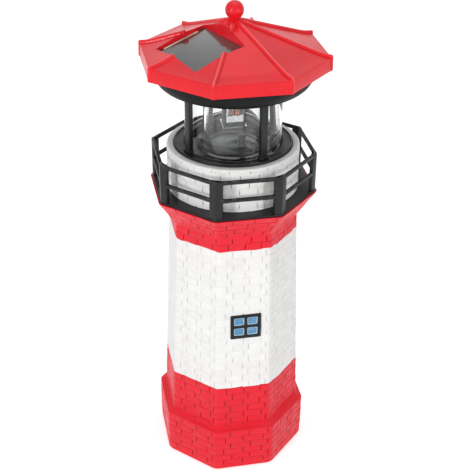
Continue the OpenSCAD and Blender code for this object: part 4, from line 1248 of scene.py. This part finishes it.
def roof_rings(rows, rib_wide, rib_high):
    """Points of the roof's rings. rows are (corner radius, height, rib's share of its height,
    push out of the corner). Lines follow the hips at set distances, and near the peak at even
    shares of the side. A rib is half an ellipse over the distance from the hip."""
    sector = np.repeat(np.arange(8), 2 * len(HIP_LINES))
    from_hip = np.tile(np.concatenate([HIP_LINES, [np.inf], HIP_LINES[:0:-1]]), 8)
    left = np.tile(np.arange(2 * len(HIP_LINES)) < len(HIP_LINES), 8)
    corner, base, share, push = (np.array(row, float)[:, None] for row in zip(*rows))
    half = corner * HALF_SIDE
    number = np.searchsorted(HIP_LINES, from_hip)
    d = np.minimum(from_hip, half * number / len(HIP_LINES))
    x = np.where(left, d - half, half - d)
    bow = np.sqrt(np.maximum(0, 1 - (2 * d * FLAT / rib_wide) ** 2))
    along, outward = along_out(45.0 * sector)
    xy = x[..., None] * along + (corner * FLAT * np.ones_like(x))[..., None] * outward
    reach = np.linalg.norm(xy, axis=-1, keepdims=True)
    xy = xy * (1 + (push * bow)[..., None] / reach)
    return np.concatenate([xy, (base + share * rib_high * bow)[..., None]], -1)


def on_panel(xyz):
    """Local x down the slope, y across it and z out of the panel's face, to the model's frame."""
    c, s = np.cos(PANEL_TILT), np.sin(PANEL_TILT)
    x = PANEL_OUT + xyz[..., 0] * c + xyz[..., 2] * s
    z = PANEL_Z - xyz[..., 0] * s + xyz[..., 2] * c
    along, outward = along_out(PANEL_TURN)
    return np.concatenate([x[..., None] * outward + xyz[..., 1:2] * along, z[..., None]], -1)


def notch_block(name, grow, drop):
    """An upright block round the panel's opening, grow wider on all sides, with its underside on
    the panel's plane, lower by drop."""
    half = PANEL_L / 2 * np.cos(PANEL_TILT) + PANEL_GAP
    x0, x1, y = PANEL_OUT - half - grow, PANEL_OUT + half + grow, PANEL_W / 2 + PANEL_GAP + grow

    def place(xyz):
        along, outward = along_out(PANEL_TURN)
        slope = (xyz[..., 0] - PANEL_OUT) * np.tan(PANEL_TILT)
        under = PANEL_Z - drop / np.cos(PANEL_TILT) - slope
        z = np.where(xyz[..., 2] < 1, under, xyz[..., 2])
        return np.concatenate([xyz[..., :1] * outward + xyz[..., 1:2] * along, z[..., None]], -1)

    return block(name, np.array([(x0, -y), (x1, -y), (x1, y), (x0, y)]), 0, 400, place)


class LIGHTHOUSE_OT_roof(Maker):
    """Make the ribbed roof with the panel's notch, and the ball on its peak"""

    bl_idname = "lighthouse.roof"
    bl_label = "Roof"

    def execute(self, context):
        roof = context.scene.lighthouse_roof
        wide, high, ball = roof.rib_wide / MM, roof.rib_high / MM, roof.ball / MM
        radii = np.array([2.5, 4, 6, 9, 13, 20, 28, 36, 44, 50, 54.6, 57, 59.5, 62, 64, 65.4, 66.2])
        rise = 1 + 0.1 * np.clip((radii - 60) / 6.6, 0, 1) ** 2
        top = [(r, roof_height(r), s, 0) for r, s in zip(radii, rise)][::-1]
        edge = [(67.1, FASCIA_LOW, 0.0, 0.4), (67.2, FASCIA_LOW + 0.25, 0.0, 0.6)]
        edge += [(66.95, FASCIA_LOW + 4.6, 0.0, 0.75), (66.75, EAVE - 1.2, 0.0, 0.85)]
        edge += [(66.7, EAVE - 0.45, 0.35, 0.95), (66.5, EAVE - 0.08, 1.0, 0.7)]
        shell = solid("roof", roof_rings([*edge, *top], wide, high), PEAK + high)
        under = [(r - 2.38, roof_height(r) - 2.2, 0, 0) for r in radii[1::2]][::-1]
        skirt = [(65.22, FASCIA_LOW - 1, 0, 0), (64.6, EAVE - 2.3, 0, 0)]
        hollow = solid("hollow", roof_rings([*skirt, *under], wide, 0), PEAK - 2.2)
        cut(hollow, notch_block("tray", 1.6, PANEL_SUNK + PANEL_THICK + 1.4))
        notch = notch_block("notch", 0, PANEL_SUNK)
        plan = box_plan(PANEL_L + 0.4, PANEL_W + 0.4, 0.05)
        cut(shell, hollow, notch, block("pocket", plan, -PANEL_SUNK - PANEL_THICK, 20, on_panel))
        mesh = shell.data
        bpy.data.objects.remove(shell)
        smooth(mesh, 28)
        mesh.polygons.foreach_set("material_index", [0] * len(mesh.polygons))
        self.piece("roof", mesh, "head", "roof_cap", "roof", "red_plastic")

        shape, middle = Shape(), PEAK + ball - 0.2
        a = np.radians(np.linspace(-62, 90, 30))
        line = [(0, PEAK - 4.9), (1.7, PEAK - 4.9), (1.7, PEAK - 0.9), (3.4, PEAK - 0.9)]
        line += [(3.4, PEAK + 0.6), (3.0, PEAK + 0.9)]
        line += [(ball * np.cos(t), middle + ball * np.sin(t)) for t in a[:-1]]
        turned(shape, [*line, (0, middle + ball)], 72)
        self.piece("roof_ball", shape, "head", "finial_ball", "roof", "red_plastic")
        return {"FINISHED"}


class LIGHTHOUSE_OT_panel(Maker):
    """Make the solar panel with its contact strip"""

    bl_idname = "lighthouse.panel"
    bl_label = "Solar panel"

    def execute(self, context):
        shape, face = Shape(), -PANEL_SUNK
        plan = box_plan(PANEL_L, PANEL_W, 0.4)
        prism(shape, plan, face - PANEL_THICK, face, 0.15, on_panel)
        strip = box_plan(PANEL_L * 0.72, 1.7, 0.2, (0.5, -PANEL_W / 2 + 1.6))
        prism(shape, strip, face - 0.3, face + 0.08, 0.05, on_panel, slot=1)
        self.piece("sun_panel", shape, "head", "solar_panel", "panel,panel strip", "panel_dark")
        return {"FINISHED"}


class LIGHTHOUSE_OT_beacon(Maker):
    """Make the turning beacon: block, bright trays, lamp chips and plate"""

    bl_idname = "lighthouse.beacon"
    bl_label = "Beacon"

    def execute(self, context):
        for name, node, finish, slot, edge in (
            ("beacon_block", "beacon_head", "lamp black", "black_plastic", 0.35),
            ("beacon_trays", "beacon_reflectors", "chrome", "bright_metal", 0.12),
            ("beacon_chips", "beacon_lamps", "chip", "lamp_copper", 0.0),
            ("beacon_foot", "beacon_plate", "chrome", "bright_metal", 0.2),
            ("beacon_stem", "beacon_spindle", "steel", "steel", 0.25),
        ):
            self.dressed(name, node, "beacon", finish, slot, edge)
        return {"FINISHED"}


class LIGHTHOUSE_OT_works(Maker):
    """Dress the parts inside the head: cell, board, switch, motor and gears"""

    bl_idname = "lighthouse.works"
    bl_label = "Inner works"

    def execute(self, context):
        for finish, nodes in {
            "housing": "cell_holder",
            "sleeve": "rechargeable_cell",
            "steel": "contact_plate,switch_body,motor_can,motor_shaft",
            "board": "circuit_board",
            "components": "board_parts",
            "knob": "switch_slider",
            "gear": "motor_pinion,drive_wheel",
            "brass": "spindle_bush",
        }.items():
            for node in nodes.split(","):
                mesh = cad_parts[node].data
                mesh.materials.clear()
                mesh.materials.append(self.finish(finish))

        # The cell's spring: a narrowing coil of round wire on a flat end
        low, high = low_high("contact_spring")
        middle, radius, turns = (low + high) / 2, (high[1] - low[1]) / 2 - 1.6, 4
        t = np.linspace(0, 1, 120)[:, None]
        a, wide = 2 * np.pi * turns * t, radius * np.interp(t, [0, 1], [1.25, 0.9])
        x = low[0] + 0.75 + (high[0] - low[0] - 1.1) * t
        y, z = middle[1] + wide * np.cos(a), middle[2] + wide * np.sin(a)
        centre = np.concatenate([x, y, z], 1)
        tangent = np.gradient(centre, axis=0)
        tangent /= np.linalg.norm(tangent, axis=1, keepdims=True)
        side = np.cross(tangent, [1.0, 0, 0])
        side /= np.linalg.norm(side, axis=1, keepdims=True)
        other = np.cross(side, tangent)
        b = np.linspace(0, 2 * np.pi, 10, endpoint=False)[None, :, None]
        ring = np.cos(b) * side[:, None] + np.sin(b) * other[:, None]
        shape = Shape()
        shape.lids(shape.grid(centre[:, None] + 0.35 * ring))

        def on_end(xyz):
            return np.array([low[0], *middle[1:]]) + xyz[..., [2, 0, 1]]

        prism(shape, box_plan(8.6, 8.6, 1.2), 0, 0.5, 0.1, on_end)
        self.piece("cell_spring", shape, "head", "contact_spring", "steel", "steel")
        return {"FINISHED"}


class LIGHTHOUSE_OT_stage(Maker):
    """Make the floor, the white background, the soft lamps and the camera"""

    bl_idname = "lighthouse.stage"
    bl_label = "Stage"

    def execute(self, context):
        scene, stage = context.scene, context.scene.lighthouse_stage
        scene.view_settings.view_transform = "Standard"

        scene.world = bpy.data.worlds.new("white surroundings")
        scene.world.use_nodes = True
        n = Nodes(scene.world.node_tree)
        light = n.tree.nodes["Background"].inputs
        light["Color"].default_value = (1, 1, 1, 1)
        n.join(n.seen() * (1 - stage.sky) + stage.sky, light["Strength"])

        size, floor_mesh = 4.0, bpy.data.meshes.new("floor")
        corners = [(-size, -size, 0), (size, -size, 0), (size, size, 0), (-size, size, 0)]
        floor_mesh.from_pydata(corners, [], [(0, 1, 2, 3)])
        f = Finish("pale floor", Roughness=0.9, Emission_Color=(1, 1, 1, 1))
        cloud = f.between(f.noise(f.place, 30.0), 0.3, 0.7, 0.0, 0.02)
        f["Base Color"] = f.mix(cloud, stage.floor, (0.85, 0.85, 0.85))
        f["Emission Strength"] = f.seen() * 0.5
        floor_mesh.materials.append(f.made)
        linked("floor", floor_mesh)

        aim = Vector((0, 0, 0.18))
        for name, place, watts, wide, tall in (
            ("left lamp", (-1.15, -0.95, 0.55), stage.left_lamp, 0.22, 0.45),
            ("right lamp", (0.75, -1.25, 0.5), stage.right_lamp, 0.22, 0.45),
            ("top lamp", (0.1, 0.2, 1.7), stage.top_lamp, 1.2, 1.2),
        ):
            lamp = bpy.data.lights.new(name, "AREA")
            lamp.shape, lamp.size, lamp.size_y = "RECTANGLE", wide, tall
            lamp.energy = watts
            holder = linked(name, lamp)
            holder.location = place
            holder.rotation_euler = (aim - Vector(place)).to_track_quat("-Z", "Y").to_euler()

        # The camera solved on the photograph: its turn, rise and roll, then its place and lens
        turn, rise, roll = np.radians([-11.36, 30.43, -0.54])
        back = np.array([np.sin(turn) * np.cos(rise), -np.cos(turn) * np.cos(rise), np.sin(rise)])
        right = np.array([np.cos(turn), np.sin(turn), 0])
        up = np.cross(back, right)
        eye = -0.00217 * right + np.array([0, 0, 0.18376]) + 0.7439 * back
        across = np.cos(roll) * right - np.sin(roll) * up
        above = np.sin(roll) * right + np.cos(roll) * up
        axes = Matrix(np.column_stack([across, above, back]).tolist()).to_4x4()
        camera = bpy.data.cameras.new("camera")
        camera.sensor_width, camera.lens = 36.0, 985.8 * 36 / 470
        camera.shift_x, camera.clip_start, camera.clip_end = 0.01236, 0.01, 20
        scene.camera = linked("camera", camera)
        scene.camera.matrix_world = Matrix.Translation(eye.tolist()) @ axes
        return {"FINISHED"}


class LIGHTHOUSE_PT_panel(bpy.types.Panel):
    """Lists the lighthouse's parts"""

    bl_idname = "LIGHTHOUSE_PT_panel"
    bl_label = "Garden lighthouse"
    bl_space_type = "VIEW_3D"
    bl_region_type = "UI"
    bl_category = "Lighthouse"

    def draw(self, context):
        for maker in MAKERS:
            self.layout.operator(maker.bl_idname)


SETTINGS = {
    "lighthouse_walls": LighthouseWalls,
    "lighthouse_gallery": LighthouseGallery,
    "lighthouse_lamp": LighthouseLamp,
    "lighthouse_roof": LighthouseRoof,
    "lighthouse_stage": LighthouseStage,
}
MAKERS = [
    LIGHTHOUSE_OT_finishes,
    LIGHTHOUSE_OT_tower,
    LIGHTHOUSE_OT_window,
    LIGHTHOUSE_OT_foot,
    LIGHTHOUSE_OT_drum,
    LIGHTHOUSE_OT_gallery,
    LIGHTHOUSE_OT_lamp_base,
    LIGHTHOUSE_OT_lens,
    LIGHTHOUSE_OT_housing,
    LIGHTHOUSE_OT_roof,
    LIGHTHOUSE_OT_panel,
    LIGHTHOUSE_OT_beacon,
    LIGHTHOUSE_OT_works,
    LIGHTHOUSE_OT_stage,
]


def register():
    for made in [*SETTINGS.values(), *MAKERS, LIGHTHOUSE_PT_panel]:
        bpy.utils.register_class(made)
    for name, group in SETTINGS.items():
        setattr(bpy.types.Scene, name, bpy.props.PointerProperty(type=group))


def unregister():
    for name in SETTINGS:
        delattr(bpy.types.Scene, name)
    for made in reversed([*SETTINGS.values(), *MAKERS, LIGHTHOUSE_PT_panel]):
        bpy.utils.unregister_class(made)


def main():
    register()
    for maker in MAKERS:
        getattr(bpy.ops.lighthouse, maker.bl_idname.split(".")[1])()


if __name__ == "__main__":
    main()
